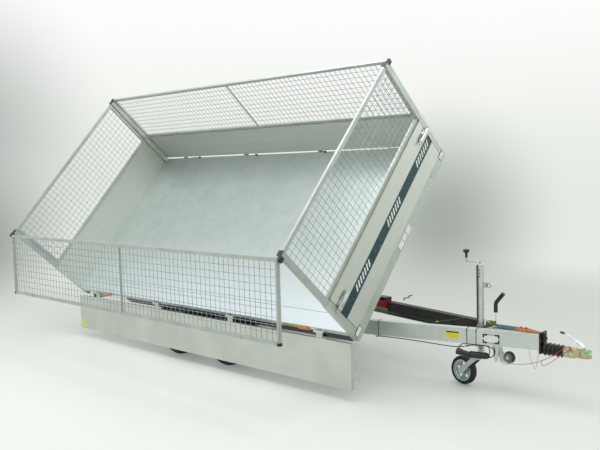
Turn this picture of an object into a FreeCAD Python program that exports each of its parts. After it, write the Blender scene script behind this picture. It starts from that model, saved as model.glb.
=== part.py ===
"""Tandem-axle trailer whose bed tips to its right side, with mesh panels above the drop-sides.

Frame: origin at the centre of the coupling ball, +X forward, +Y left, +Z up, millimetres.
Bed pieces are drawn with the bed level and every panel shut, then turned to the tipped position.
"""
import FreeCAD, Part
import math
import os

V = FreeCAD.Vector
X_AXIS, Y_AXIS, Z_AXIS = V(1, 0, 0), V(0, 1, 0), V(0, 0, 1)
SIDES = (-1, 1)            # right, left

# ---- overall sizes ----
BALL_HEIGHT = 365.0        # ball centre above the ground
BED_GAP = 1300.0           # ball centre to the bed's front face
BED_LENGTH = 3600.0
BED_WIDTH = 1755.0         # over the corner posts
FLOOR_OVER_TYRES = 187.0   # load floor above the tyres' tops, so that the tipped edge clears them
SIDE_HEIGHT = 349.0
MESH_HEIGHT = 570.0
TIP_ANGLE = 48.0           # bed tipped to the right

# ---- bed construction ----
FLOOR_SHEET = 3.0
LIP_DEPTH = 50.0           # folded edge along each side of the floor
FRAME_DEPTH = 50.0         # longitudinals and cross-members under the sheet
BEAM_WIDTH = 60.0
CROSS_WIDTH = 40.0
CROSS_PITCH = 440.0
WALL = 3.0                 # folded and rolled steel sections
BAND_TOP, BAND_BOTTOM = -40.0, -109.0
BAND_DEPTH = 60.0
FLOOR_INSET = 40.0         # floor edge behind the front and rear faces
POST = 50.0
POST_WALL = 4.7
BOARD_THICK = 25.0
BOARD_WALL = 2.0
PANEL_GAP = 5.0            # running gap round a panel that swings
SIDE_INSET = 16.0          # drop-side's end from the bed's end
SIDE_FOOT = 13.0           # drop-side's lower edge above the floor
SIDE_HINGE_OUT, SIDE_HINGE_DROP = 17.0, 31.0
END_FOOT = -30.0           # end board's lower edge
FRONT_HINGE_IN, FRONT_HINGE_DROP = 12.5, 12.0
REAR_HINGE_OUT, REAR_HINGE_DROP = 14.0, 20.0
PIN = 10.0                 # hinge pin diameter
PIN_CLEAR = 0.3
HINGE_BARREL = 18.0
HINGE_WIDTH = 60.0
SIDE_HINGES = (325.0, 1300.0, 2300.0, 3275.0)      # from the bed's rear
END_HINGES = (-640.0, 0.0, 640.0)                  # from the centre line

# ---- mesh panels ----
RAIL = 25.0                # square tube of the panels
RAIL_WALL = 2.0
END_RAIL = 30.0
UPRIGHT = 40.0
UPRIGHT_FOOT = 120.0       # length that stands in the corner post
MESH_PITCH = 50.0
WIRE = 3.5
WIRE_GAP = 0.3             # between the two layers of wire
MESH_FOOT = 8.0            # panel above the board's rim
MESH_PIN = 12.0
CAP = 30.0                 # plastic corner cap that holds a side panel's pin
MID_BAR = (20.0, 8.0)
HOOKS_SIDE = (390.0, 1800.0, 3210.0)
HOOKS_REAR = (-577.0, 577.0)

# ---- tipping axis and chassis ----
TIP_IN, TIP_DROP = 250.0, 80.0
TIP_PIN = 25.0
TIP_CLEAR = 0.5
LUG = 20.0
EAR = 12.0
EAR_GAP = 2.0
STAND_X = (180.0, 2700.0)  # pivot stands, from the bed's rear
INNER_CROSS = (-900.0, -130.0, 130.0)              # from the cylinder
CROSS_HALF = 30.0
CHASSIS_WALL = 4.0
RAIL_WIDTH = 60.0
RAIL_BOTTOM, RAIL_TOP = 476.0, 558.0
DRAW_BOTTOM = 366.0        # the beams' tops meet the rails' undersides
DRAW_SLOPE = 0.235
DRAW_APEX = -236.0         # where the two beams' centre lines meet
DRAW_REAR = -2530.0
DRAW_WIDTH = 60.0
DRAW_WALL = 4.0
HEAD_REAR, HEAD_FRONT, HEAD_HALF = -700.0, -302.0, 40.0
HEAD_LOW, HEAD_TOP = 370.0, 472.0                  # box between the beams that holds the overrun shaft

PACK_BARS = (-2520.0, -2310.0)                     # rear edges of the bars under the power pack
BRAKE_ROD = (4.0, 12.0, 378.0)                     # radius, distance beside the mast, height

# ---- hose cover and isolator on the left beam ----
COVER_REAR, COVER_FRONT = -1870.0, -835.0
COVER_SHEET = 3.0
COVER_FOOT = 30.0          # beam left bare below the cover
ISOLATOR = (140.0, 32.0, 48.0)                     # along the beam, deep beside it, across its top
ISOLATOR_FOOT, ISOLATOR_SPLIT, ISOLATOR_TOP = 422.0, 490.0, 518.0

# ---- latches at the ends of the end boards ----
LATCH_HEIGHT = 250.0       # above the floor
LATCH_BASE = (3.0, 18.0, 115.0)                    # sheet, half height, length
LATCH_REACH = 34.0         # hook over the corner post
LATCH_CLEAR = 5.0

# ---- lead and breakaway cable ----
LEAD = 7.0                 # diameter
LEAD_ROUTE = (             # x, across the right beam from its centre, height above the ball's centre
    (-1480, 20, -8), (-1390, 20, -9), (-1295, 20, -12), (-1200, 20, -16), (-1110, 19, -22), (-1025, 14, -29),
    (-950, 6, -36), (-890, 0, -39), (-840, -2, -31), (-795, -2, -19), (-745, -1, -12), (-695, 0, -11),
    (-649, -1, -13), (-622, -5, -38), (-622, -11, -76), (-649, -16, -101), (-692, -18, -102), (-735, -19, -98),
    (-778, -18, -92), (-820, -19, -91), (-859, -18, -90), (-881, -18, -53), (-859, -18, -16), (-820, -17, -13),
    (-778, -17, -12.5), (-735, -16, -13), (-702, -15, -13.5), (-666, -11, -14), (-644, 2, -52), (-666, 16, -90),
    (-702, 24, -93), (-735, 28, -88), (-760, 29, -83),
)
PLUG = (                   # along the plug, radius
    (0, 5.5), (30, 10), (30, 18), (88, 20), (88, 24), (120, 24), (124, 21.5),
)
BREAKAWAY = 4.0
BREAKAWAY_ROUTE = (        # x, y, height above the ball's centre
    (-512, -70, -122), (-470, -70, -119), (-420, -70, -112), (-369, -70, -100), (-318, -68, -84), (-276, -65, -65),
    (-235, -61, -43), (-195, -56, -17), (-160, -52, 12), (-130, -49, 38), (-108, -48, 55), (-87, -48, 58),
    (-78, -48, 42), (-92, -49, 28), (-118, -53, 14), (-143, -58, -8), (-172, -64, -34), (-208, -70, -64),
    (-238, -75, -86), (-258, -78, -95), (-271, -76, -90), (-276, -71.5, -78),
)
HELD_POINT = 5             # point of the route that the cable's own end is clipped to
BREAKAWAY_PIN = (-94.0, 43.0, 10.0)                # x, height, radius of the pin it goes round

SIDE_LAMPS = (497.0, 3120.0)                       # from the bed's rear
LAMP_INSET, LAMP_LENGTH = 187.5, 210.0             # rear lamps, from the bed's edge

# ---- wheels and axles ----
WHEEL_MID = 1770.0         # tandem centre from the bed's rear
WHEEL_SPACING = 660.0
TYRE_RADIUS = 262.5
TYRE_WIDTH = 195.0
TYRE_INSET = 132.5         # outer side wall inside the bed's edge
TYRE_TO_RAIL = 85.0        # inner side wall to the chassis rail's centre
RIM_RADIUS = 165.0
HUB_RADIUS = 60.0
HAND_HOLES = 8
AXLE_SIZE = 80.0
AXLE_HEIGHT = 345.0
AXLE_LEAD = 150.0          # axle tube ahead of the wheel centre
STUB = 40.0

# ---- jockey wheel ----
MAST_X = -772.0
MAST_OUTER, MAST_INNER = 48.0, 40.0
MAST_LOW, MAST_TOP = 266.0, 930.0
JOCKEY_RADIUS, JOCKEY_WIDTH = 108.0, 60.0
JOCKEY_WINDOWS = 5
JOCKEY_TRAIL = 165.0
JOCKEY_SWIVEL = -9.0       # fork turned about the mast, from straight back
CRANK_THROW = 117.0
FORK_TOP = 250.0

# ---- bracket under the right beam ----
LEG = (-613.0, -72.0)      # x, y of its outer face
LEG_HUB = 31.0

# ---- overrun device and coupling ----
SHAFT_HEIGHT = 8.0         # overrun shaft above the ball's centre
FLANGE_SHEET = 12.0
BELLOWS_END = -140.0
BELLOWS_RADII = (36.0, 48.0)
HOUSING_REAR, HOUSING_TAPER, HOUSING_RADIUS = -648.0, -400.0, 30.0
BALL_SOCKET = 25.2
COUPLING_WALL = 8.0
COUPLING_NOSE = 42.0
HANDLE_SEAT = 44.0         # flat on the coupling head, above the ball

# ---- handbrake ----
BRAKE_LEVER = (-664.0, 16.0)                       # x, y of its flat side
BRAKE_PIVOT, BRAKE_GRIP, BRAKE_BEND, BRAKE_TIP = 480.0, 585.0, 647.0, 722.0
BRAKE_LEAN = 62.0          # grip's end ahead of its bend
SECTOR_RADIUS = 78.0
SECTOR_TOP = 516.0
SECTOR_TEETH = 7

# ---- cylinder ----
LIFT_X = 1800.0            # from the bed's rear
LIFT_PIVOT_HEIGHT = 480.0
LIFT_SEAT_DROP = 88.0      # ball centre below the floor
BARREL_DIA, BARREL_BELOW, BARREL_ABOVE = 120.0, 200.0, 75.0
STAGES = (                 # outer diameter, bore (0 is solid), shut top above the trunnion
    (104.0, 84.0, 88.0),
    (83.0, 63.0, 101.0),
    (62.0, 0.0, 114.0),
)
STAGE_CLEAR = 0.5
LIFT_BALL = 56.0
TRUNNION = 24.0

# ---- values worked out from those ----
GROUND = -BALL_HEIGHT
BED_FRONT = -BED_GAP
BED_REAR = BED_FRONT - BED_LENGTH
HALF = BED_WIDTH / 2
TYRE_OUTER = HALF - TYRE_INSET
RAIL_HALF_TRACK = TYRE_OUTER - TYRE_WIDTH - TYRE_TO_RAIL
FLOOR_HEIGHT = 2 * TYRE_RADIUS + FLOOR_OVER_TYRES
FLOOR = GROUND + FLOOR_HEIGHT
RIM = FLOOR + SIDE_HEIGHT
MESH_TOP = RIM + MESH_HEIGHT
TIP_Y = -(HALF - TIP_IN)
TIP_Z = FLOOR - TIP_DROP
SIDE_HINGE_Y = HALF + SIDE_HINGE_OUT
SIDE_HINGE_Z = FLOOR - SIDE_HINGE_DROP
MESH_HINGE_Y = HALF + PANEL_GAP + RAIL / 2
MESH_HINGE_Z = MESH_TOP - RAIL / 2
SIDE_OPEN = 180.0 - TIP_ANGLE


# ---------------------------------------------------------------- helpers
def box(x0, x1, y0, y1, z0, z1):
    return Part.makeBox(x1 - x0, y1 - y0, z1 - z0, V(x0, y0, z0))


def bar(radius, start, end):
    """Round bar between two points."""
    way = end - start
    return Part.makeCylinder(radius, way.Length, start, way)


def fuse(*shapes):
    first, rest = shapes[0], list(shapes[1:])
    return first.multiFuse(rest).removeSplitter() if rest else first


def mirror_y(shape):
    return shape.mirror(V(0, 0, 0), Y_AXIS)


def both_sides(shape):
    return [shape, mirror_y(shape)]


def tube_x(x0, x1, y0, y1, z0, z1, wall):
    """Rectangular tube along X."""
    return box(x0, x1, y0, y1, z0, z1).cut(box(x0, x1, y0 + wall, y1 - wall, z0 + wall, z1 - wall))


def tube_y(x0, x1, y0, y1, z0, z1, wall):
    return box(x0, x1, y0, y1, z0, z1).cut(box(x0 + wall, x1 - wall, y0, y1, z0 + wall, z1 - wall))


def revolve(points, axis_point, axis):
    """Solid turned from a closed outline."""
    face = Part.Face(Part.makePolygon(points + points[:1]))
    return face.revolve(axis_point, axis, 360)


def tipped(shape):
    turned = shape.copy()
    turned.rotate(V(0, TIP_Y, TIP_Z), X_AXIS, TIP_ANGLE)
    return turned


def tipped_point(y, z):
    turn = math.radians(TIP_ANGLE)
    dy, dz = y - TIP_Y, z - TIP_Z
    return (TIP_Y + dy * math.cos(turn) - dz * math.sin(turn),
            TIP_Z + dy * math.sin(turn) + dz * math.cos(turn))


def swung(shape, hinge_y, hinge_z, angle):
    """Turn about an axis along X, given with the bed level."""
    turned = shape.copy()
    turned.rotate(V(0, hinge_y, hinge_z), X_AXIS, angle)
    return turned


def save(name, *shapes):
    solids = [solid for shape in shapes for solid in shape.Solids]
    shape = solids[0] if len(solids) == 1 else Part.makeCompound(solids)
    shape.exportStep(f"parts/{name}.step")


# ---------------------------------------------------------------- bed
def bed_floor():
    """Sheet with both long edges folded down."""
    x0, x1 = BED_REAR + FLOOR_INSET, BED_FRONT - FLOOR_INSET
    sheet = box(x0, x1, -HALF, HALF, FLOOR - FLOOR_SHEET, FLOOR)
    lip = box(BED_REAR + BAND_DEPTH, BED_FRONT - BAND_DEPTH, -HALF, -HALF + FLOOR_SHEET, FLOOR - LIP_DEPTH, FLOOR)
    return fuse(sheet, *both_sides(lip))


def end_band(face_x, inward):
    """Folded channel below an end board, open towards the bed."""
    x0, x1 = sorted((face_x, face_x + inward * BAND_DEPTH))
    w0, w1 = sorted((face_x + inward * WALL, face_x + inward * BAND_DEPTH))
    top, low = FLOOR + BAND_TOP, FLOOR + BAND_BOTTOM
    return box(x0, x1, -HALF, HALF, low, top).cut(
        box(w0, w1, -HALF + WALL, HALF - WALL, low + WALL, top - WALL))


def tip_ear(x_stand):
    """Two ears with a slot open below, which sit over a stand's pin."""
    y, z = -TIP_Y, TIP_Z
    r = TIP_PIN / 2 + TIP_CLEAR
    under = FLOOR - FLOOR_SHEET - FRAME_DEPTH
    ears = []
    for way in SIDES:
        x0, x1 = sorted((x_stand + way * (LUG / 2 + EAR_GAP), x_stand + way * (LUG / 2 + EAR_GAP + EAR)))
        ear = box(x0, x1, y - BEAM_WIDTH / 2, y + BEAM_WIDTH / 2, z - r, under)
        ear = fuse(ear, box(x0, x1, y - BEAM_WIDTH / 2, y - r, z - 2 * r, z - r),
                   box(x0, x1, y + r, y + BEAM_WIDTH / 2, z - 2 * r, z - r))
        slot = fuse(Part.makeCylinder(r, x1 - x0, V(x0, y, z), X_AXIS), box(x0, x1, y - r, y + r, z - 2 * r, z))
        ears.append(ear.cut(slot))
    return ears


def bed_frame():
    top = FLOOR - FLOOR_SHEET
    low = top - FRAME_DEPTH
    x0, x1 = BED_REAR + FLOOR_INSET, BED_FRONT - FLOOR_INSET
    pieces = [end_band(BED_REAR, 1), end_band(BED_FRONT, -1)]
    beam = tube_x(x0, x1, -TIP_Y - BEAM_WIDTH / 2, -TIP_Y + BEAM_WIDTH / 2, low, top, WALL)
    pieces += both_sides(beam)
    inner = HALF - FLOOR_SHEET
    count = int((x1 - x0 - CROSS_WIDTH) / CROSS_PITCH)
    step = (x1 - x0 - CROSS_WIDTH) / count
    for i in range(count + 1):
        x = x0 + i * step
        pieces.append(box(x, x + CROSS_WIDTH, -inner, inner, low, top))
    for x in STAND_X:
        for ear in tip_ear(BED_REAR + x):
            pieces += both_sides(ear)
    seat_x = BED_REAR + LIFT_X
    plate = box(seat_x - 250, seat_x + 250, -90, 90, low - 6, low)
    ring_low = FLOOR - LIFT_SEAT_DROP - 4
    ring = bar(65, V(seat_x, 0, ring_low), V(seat_x, 0, low - 6)).cut(
        bar(57, V(seat_x, 0, ring_low), V(seat_x, 0, low - 6)))
    return fuse(*pieces, plate, ring)


def corner_post(x_out, inward):
    """Hollow extruded post with two grooves in its end face; drawn on the left."""
    x_in = x_out + inward * POST
    y0, y1 = HALF - POST, HALF
    x0, x1 = sorted((x_out, x_in))
    low = FLOOR + BAND_TOP + 2
    post = box(x0, x1, y0, y1, low, RIM)
    hollow = box(x0 + POST_WALL, x1 - POST_WALL, y0 + POST_WALL, y1 - POST_WALL, FLOOR + 10, RIM)
    post = post.cut(hollow)
    for offset in (15.0, 30.0):
        g0, g1 = sorted((x_out, x_out + inward * 2.0))
        post = post.cut(box(g0, g1, y0 + offset, y0 + offset + 5, low, RIM))
    notch = box(min(x_in, x_out + inward * FLOOR_INSET), max(x_in, x_out + inward * FLOOR_INSET),
                y0, y1, low, FLOOR)
    return post.cut(notch)


def corner_posts():
    return both_sides(corner_post(BED_REAR, 1)) + both_sides(corner_post(BED_FRONT, -1))


def upright(x_out, inward):
    """Square tube that stands in a corner post and carries the mesh; drawn on the left."""
    centre = x_out + inward * POST / 2
    y = HALF - POST / 2
    half = UPRIGHT / 2
    tube = box(centre - half, centre + half, y - half, y + half, RIM - UPRIGHT_FOOT, MESH_TOP)
    inner = half - 2.5
    return tube.cut(box(centre - inner, centre + inner, y - inner, y + inner, RIM - UPRIGHT_FOOT, MESH_TOP - 2.5))


def wires(length_axis, a0, a1, z0, z1, plane, out):
    """Two layers of square wire: uprights on the inner side, long wires on the outer side of a plane.

    length_axis is "x" or "y", a0..a1 and z0..z1 the clear opening, out the outward sign.
    """
    near0, near1 = sorted((plane - out * WIRE_GAP / 2, plane - out * (WIRE_GAP / 2 + WIRE)))
    far0, far1 = sorted((plane + out * WIRE_GAP / 2, plane + out * (WIRE_GAP / 2 + WIRE)))
    shapes = []

    def add(a, b, c, d, layer):
        shapes.append(box(a, b, *layer, c, d) if length_axis == "x" else box(*layer, a, b, c, d))

    for low, high, is_upright in ((a0, a1, True), (z0, z1, False)):
        count = max(1, round((high - low) / MESH_PITCH))
        pitch = (high - low) / count
        for i in range(1, count):
            at = low + i * pitch
            if is_upright:
                add(at - WIRE / 2, at + WIRE / 2, z0, z1, (near0, near1))
            else:
                add(a0, a1, at - WIRE / 2, at + WIRE / 2, (far0, far1))
    return shapes


def side_mesh():
    """Left side panel, shut: tube frame, middle bar and mesh."""
    x0, x1 = BED_REAR + RAIL, BED_FRONT - RAIL
    y0, y1 = MESH_HINGE_Y - RAIL / 2, MESH_HINGE_Y + RAIL / 2
    z0, z1 = RIM + MESH_FOOT, MESH_TOP
    outer = box(x0, x1, y0, y1, z0, z1)
    opening = (x0 + RAIL, x1 - RAIL, z0 + RAIL, z1 - RAIL)
    frame = outer.cut(box(opening[0], opening[1], y0, y1, opening[2], opening[3]))
    hole = PIN_CLEAR + MESH_PIN / 2
    for x, way in ((x0, 1), (x1, -1)):
        frame = frame.cut(bar(hole, V(x, MESH_HINGE_Y, MESH_HINGE_Z), V(x + way * 20, MESH_HINGE_Y, MESH_HINGE_Z)))
    mid = (x0 + x1) / 2
    width, thick = MID_BAR
    mid_bar = box(mid - width / 2, mid + width / 2, y0, y0 + thick, opening[2], opening[3])
    grid = wires("x", *opening, MESH_HINGE_Y + 2.0, 1)
    hooks = [box(BED_REAR + x - 12, BED_REAR + x + 12, y1, y1 + 3, z0 - 3, z0 + 20) for x in HOOKS_SIDE]
    return frame.multiFuse(grid + [mid_bar] + hooks)


def mesh_cap(x_out, inward):
    """Plastic cap on an upright's top with the pin of the side panel; drawn on the left."""
    centre = x_out + inward * POST / 2
    half = UPRIGHT / 2
    post_y = HALF - POST / 2
    cap = box(centre - half, centre + half, post_y - half, post_y + half, MESH_TOP, MESH_TOP + 6)
    x0, x1 = sorted((x_out, x_out + inward * (RAIL - PANEL_GAP)))
    y0, y1 = post_y + half, MESH_HINGE_Y + RAIL / 2
    ear = box(x0, x1, y0, y1, MESH_TOP - CAP, MESH_TOP + 6)
    pin_end = x_out + inward * (RAIL + 15)
    pin = bar(MESH_PIN / 2, V(x_out + inward * 5, MESH_HINGE_Y, MESH_HINGE_Z), V(pin_end, MESH_HINGE_Y, MESH_HINGE_Z))
    return fuse(cap, ear, pin)


def end_mesh(x_out, inward, swings):
    """Mesh between two uprights: top and bottom rails, and posts where the panel swings."""
    gap = PANEL_GAP if swings else 0.0
    side = HALF - POST / 2 - UPRIGHT / 2 - gap
    centre = x_out + inward * POST / 2
    x0, x1 = centre - RAIL / 2, centre + RAIL / 2
    z0, z1 = RIM + MESH_FOOT, MESH_TOP
    rail_width = END_RAIL if swings else RAIL
    frame = box(x0, x1, -side, side, z0, z1)
    inner_side = side - (rail_width if swings else 0.0)
    opening = (-inner_side, inner_side, z0 + RAIL, z1 - END_RAIL)
    frame = frame.cut(box(x0, x1, *opening))
    return frame, wires("y", *opening, centre, -inward)


def front_mesh():
    frame, grid = end_mesh(BED_FRONT, -1, False)
    return frame.multiFuse(grid)


def rear_mesh():
    frame, grid = end_mesh(BED_REAR, 1, True)
    y = HALF - POST / 2 - UPRIGHT / 2 - PANEL_GAP
    x, z = BED_REAR + POST / 2, MESH_TOP - END_RAIL / 2
    for side in SIDES:
        frame = frame.cut(bar(MESH_PIN / 2 + PIN_CLEAR, V(x, side * (y - 20), z), V(x, side * y, z)))
    hooks = [box(BED_REAR + POST / 2 - RAIL / 2 - 3, BED_REAR + POST / 2 - RAIL / 2, a - 12, a + 12,
                 RIM + MESH_FOOT - 3, RIM + MESH_FOOT + 20) for a in HOOKS_REAR]
    return frame.multiFuse(grid + hooks)


def mesh_uprights():
    """Four uprights; each rear one has the pin that the rear mesh swings on."""
    x, z = BED_REAR + POST / 2, MESH_TOP - END_RAIL / 2
    y = HALF - POST / 2 - UPRIGHT / 2
    left = fuse(upright(BED_REAR, 1), bar(MESH_PIN / 2, V(x, y + 1, z), V(x, y - PANEL_GAP - 15, z)))
    return both_sides(left) + both_sides(upright(BED_FRONT, -1))


# ---------------------------------------------------------------- boards
def side_board():
    """Left drop-side, shut: hollow board with hinge straps below."""
    x0, x1 = BED_REAR + SIDE_INSET, BED_FRONT - SIDE_INSET
    y0, y1 = HALF + PANEL_GAP, HALF + PANEL_GAP + BOARD_THICK
    board = tube_x(x0, x1, y0, y1, FLOOR + SIDE_FOOT, RIM, BOARD_WALL)
    straps = [side_strap(BED_REAR + x) for x in SIDE_HINGES]
    return fuse(board, *straps)


def side_strap(x):
    """Leaf from the board's foot to a ring round the hinge pin."""
    y, z = SIDE_HINGE_Y, SIDE_HINGE_Z
    r = HINGE_BARREL / 2
    ring = bar(r, V(x - HINGE_WIDTH / 2, y, z), V(x + HINGE_WIDTH / 2, y, z))
    leaf = box(x - HINGE_WIDTH / 2, x + HINGE_WIDTH / 2, y + r - 5, y + r, z, FLOOR + SIDE_FOOT)
    hole = bar(PIN / 2 + PIN_CLEAR, V(x - HINGE_WIDTH / 2, y, z), V(x + HINGE_WIDTH / 2, y, z))
    return fuse(ring, leaf).cut(hole)


def side_hinges():
    """Fixed knuckles on the floor's edge, with their pins; drawn on the left."""
    shapes = []
    y, z, r = SIDE_HINGE_Y, SIDE_HINGE_Z, HINGE_BARREL / 2
    reach = HINGE_WIDTH / 2
    for at in SIDE_HINGES:
        x = BED_REAR + at
        parts = [bar(PIN / 2, V(x - reach - 16, y, z), V(x + reach + 16, y, z))]
        for way in SIDES:
            a, b = sorted((x + way * (reach + 1), x + way * (reach + 16)))
            parts.append(bar(r, V(a, y, z), V(b, y, z)))
            parts.append(box(a, b, HALF, y, z - 5, z + 5))
        shapes.append(fuse(*parts))
    return shapes


def end_board(x_out, inward):
    side = HALF - POST - PANEL_GAP
    x0, x1 = sorted((x_out, x_out + inward * BOARD_THICK))
    return tube_y(x0, x1, -side, side, FLOOR + END_FOOT, RIM, BOARD_WALL)


def board_latches(face, outward):
    """Base, body and hand lever on the board's ends, and the hook that lies over the corner post."""
    sheet, half, length = LATCH_BASE
    z, end = FLOOR + LATCH_HEIGHT, HALF - POST - PANEL_GAP - 6

    def slab(out0, out1, y0, y1, half_height):
        x0, x1 = sorted((face + outward * out0, face + outward * out1))
        return box(x0, x1, y0, y1, z - half_height, z + half_height)

    hook_in = LATCH_CLEAR + 6
    hook = fuse(slab(LATCH_CLEAR, hook_in, end - 44, HALF - POST + LATCH_REACH, 7),
                slab(LATCH_CLEAR, hook_in + 10, HALF - POST + LATCH_REACH - 8, HALF - POST + LATCH_REACH, 7))
    body = slab(0, 20, end - 50, end - 14, half - 4)
    lever = fuse(slab(12, 18, end - length - 26, end - 20, 9), slab(18, 27, end - length - 26, end - length - 8, 9))
    return both_sides(fuse(slab(0, sheet, end - length, end, half), body, lever, hook))


def front_board():
    """Board with a latch and a plugged lower corner at each end for the pivot pin."""
    board = fuse(end_board(BED_FRONT, -1), *board_latches(BED_FRONT, 1))
    side = HALF - POST - PANEL_GAP
    x, z = BED_FRONT - FRONT_HINGE_IN, FLOOR - FRONT_HINGE_DROP
    for way in SIDES:
        a, b = sorted((way * side, way * (side - 30)))
        plug = box(BED_FRONT - BOARD_THICK, BED_FRONT, a, b, FLOOR + END_FOOT, FLOOR + END_FOOT + 40)
        hole = bar(PIN / 2 + PIN_CLEAR, V(x, way * (side + 1), z), V(x, way * (side - 25), z))
        board = fuse(board, plug).cut(hole)
    return board


def front_pivots():
    """Pins from the front corner posts into the front board."""
    x, z = BED_FRONT - FRONT_HINGE_IN, FLOOR - FRONT_HINGE_DROP
    side = HALF - POST
    return both_sides(bar(PIN / 2, V(x, side, z), V(x, side - PANEL_GAP - 20, z)))


def rear_board():
    board = end_board(BED_REAR, 1)
    x, z = BED_REAR - REAR_HINGE_OUT, FLOOR - REAR_HINGE_DROP
    r, reach = HINGE_BARREL / 2, HINGE_WIDTH / 2
    parts = [board] + board_latches(BED_REAR, -1)
    for y in END_HINGES:
        parts.append(bar(r, V(x, y - reach, z), V(x, y + reach, z)))
        parts.append(box(x, BED_REAR, y - reach, y + reach, z, z + r))
        parts.append(box(BED_REAR - 4, BED_REAR, y - reach, y + reach, z, z + 90))
    board = fuse(*parts)
    for y in END_HINGES:
        board = board.cut(bar(PIN / 2 + PIN_CLEAR, V(x, y - reach, z), V(x, y + reach, z)))
    return board


def rear_hinges():
    """Fixed knuckles on the rear band, with their pins."""
    x, z = BED_REAR - REAR_HINGE_OUT, FLOOR - REAR_HINGE_DROP
    r, reach = HINGE_BARREL / 2, HINGE_WIDTH / 2
    shapes = []
    for y in END_HINGES:
        parts = [bar(PIN / 2, V(x, y - reach - 16, z), V(x, y + reach + 16, z))]
        for way in SIDES:
            a, b = sorted((y + way * (reach + 1), y + way * (reach + 16)))
            parts.append(bar(r, V(x, a, z), V(x, b, z)))
            parts.append(box(x - r, BED_REAR - 2, a, b, FLOOR + BAND_TOP - 20, z))
            parts.append(box(BED_REAR - 4, BED_REAR, a, b, FLOOR + BAND_TOP - 40, FLOOR + BAND_TOP - 2))
        shapes.append(fuse(*parts))
    return shapes


# ---------------------------------------------------------------- chassis
def chassis_rails():
    rear, front = BED_REAR + STAND_X[0] + CROSS_HALF, BED_REAR + STAND_X[1] - CROSS_HALF
    half = RAIL_WIDTH / 2
    rail = tube_x(rear, front, RAIL_HALF_TRACK - half, RAIL_HALF_TRACK + half,
                  GROUND + RAIL_BOTTOM, GROUND + RAIL_TOP, CHASSIS_WALL)
    return both_sides(rail)


def crossmembers():
    """Two outer cross-members that carry the pivot stands, and three between the rails."""
    low, top = GROUND + RAIL_BOTTOM, GROUND + RAIL_TOP
    wide = -TIP_Y + 32
    inner = RAIL_HALF_TRACK - RAIL_WIDTH / 2
    table = [(at, wide) for at in STAND_X] + [(LIFT_X + offset, inner) for offset in INNER_CROSS]
    return [tube_y(BED_REAR + at - CROSS_HALF, BED_REAR + at + CROSS_HALF, -reach, reach, low, top, CHASSIS_WALL)
            for at, reach in table]


def pivot_stands():
    """Lug and pin of each tipping pivot, on the ends of the outer cross-members."""
    top = GROUND + RAIL_TOP
    lugs = []
    for at in STAND_X:
        x, y = BED_REAR + at, -TIP_Y
        pin_end = LUG / 2 + EAR_GAP + EAR + 3
        lug = fuse(box(x - LUG / 2, x + LUG / 2, y - 16, y + 16, top, TIP_Z),
                   bar(16, V(x - LUG / 2, y, TIP_Z), V(x + LUG / 2, y, TIP_Z)),
                   bar(TIP_PIN / 2, V(x - pin_end, y, TIP_Z), V(x + pin_end, y, TIP_Z)))
        lugs += both_sides(lug)
    return lugs


def bump_stops():
    """Rubber blocks on the rails that the level bed comes down towards."""
    under = FLOOR - FLOOR_SHEET - FRAME_DEPTH
    blocks = []
    for at in (700.0, 2500.0):
        x = BED_REAR + at
        foot = box(x - 40, x + 40, RAIL_HALF_TRACK - 25, RAIL_HALF_TRACK + 25, GROUND + RAIL_TOP, under - 8)
        blocks += both_sides(foot)
    return blocks


def drawbar_beam(side):
    """Channel open towards the centre line, trimmed against the head box."""
    angle = math.atan(DRAW_SLOPE)
    length = (DRAW_APEX - DRAW_REAR) / math.cos(angle)
    low, high = GROUND + DRAW_BOTTOM, GROUND + RAIL_BOTTOM
    outer = box(-length, 0, -DRAW_WIDTH / 2, DRAW_WIDTH / 2, low, high)
    hollow = box(-length, 0, -DRAW_WIDTH / 2, DRAW_WIDTH / 2 - DRAW_WALL, low + DRAW_WALL, high - DRAW_WALL)
    beam = outer.cut(hollow)
    beam.translate(V(DRAW_APEX, 0, 0))
    beam.rotate(V(DRAW_APEX, 0, 0), Z_AXIS, -math.degrees(angle))
    beam = beam.cut(box(HEAD_REAR, 0, -HALF, HEAD_HALF, low, high))
    beam = beam.cut(box(HEAD_FRONT, 0, -HALF, HALF, low, high))
    beam = max(beam.Solids, key=lambda solid: solid.Volume)
    return beam if side > 0 else fuse(mirror_y(beam), lead_clip())


def beam_point(x, across, height):
    """Point on the left beam: across is the distance outwards from its centre line."""
    angle = math.atan(DRAW_SLOPE)
    return V(x + across * math.sin(angle), (DRAW_APEX - x) * DRAW_SLOPE + across * math.cos(angle), height)


def cord(route, diameter, name):
    """Tube along straight runs joined by tangent arcs, each as large as its two runs allow."""
    edges, radii, start = [], [], route[0]
    for before, corner, after in zip(route, route[1:], route[2:]):
        into, out = (corner - before).normalize(), (after - corner).normalize()
        half_turn = into.getAngle(out) / 2
        reach = 0.45 * min((corner - before).Length, (after - corner).Length)
        radius = reach / math.tan(half_turn)
        sagitta = radius / math.cos(half_turn) - radius
        arc = (corner - into * reach, corner + (out - into).normalize() * sagitta, corner + out * reach)
        edges += [Part.LineSegment(start, arc[0]).toShape(), Part.Arc(*arc).toShape()]
        radii.append(round(radius))
        start = arc[2]
    edges.append(Part.LineSegment(start, route[-1]).toShape())
    path = Part.Wire(edges)
    ring = Part.Wire(Part.makeCircle(diameter / 2, route[0], route[1] - route[0]))
    tube = path.makePipeShell([ring], True, False)
    section = math.pi * diameter ** 2 / 4
    print(name, "length", round(path.Length, 1), "volume ratio", round(tube.Volume / section / path.Length, 4),
          "radii", radii)
    return tube


def lead_route():
    left = [beam_point(x, across, z) for x, across, z in LEAD_ROUTE]
    return [V(point.x, -point.y, point.z) for point in left]


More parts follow.
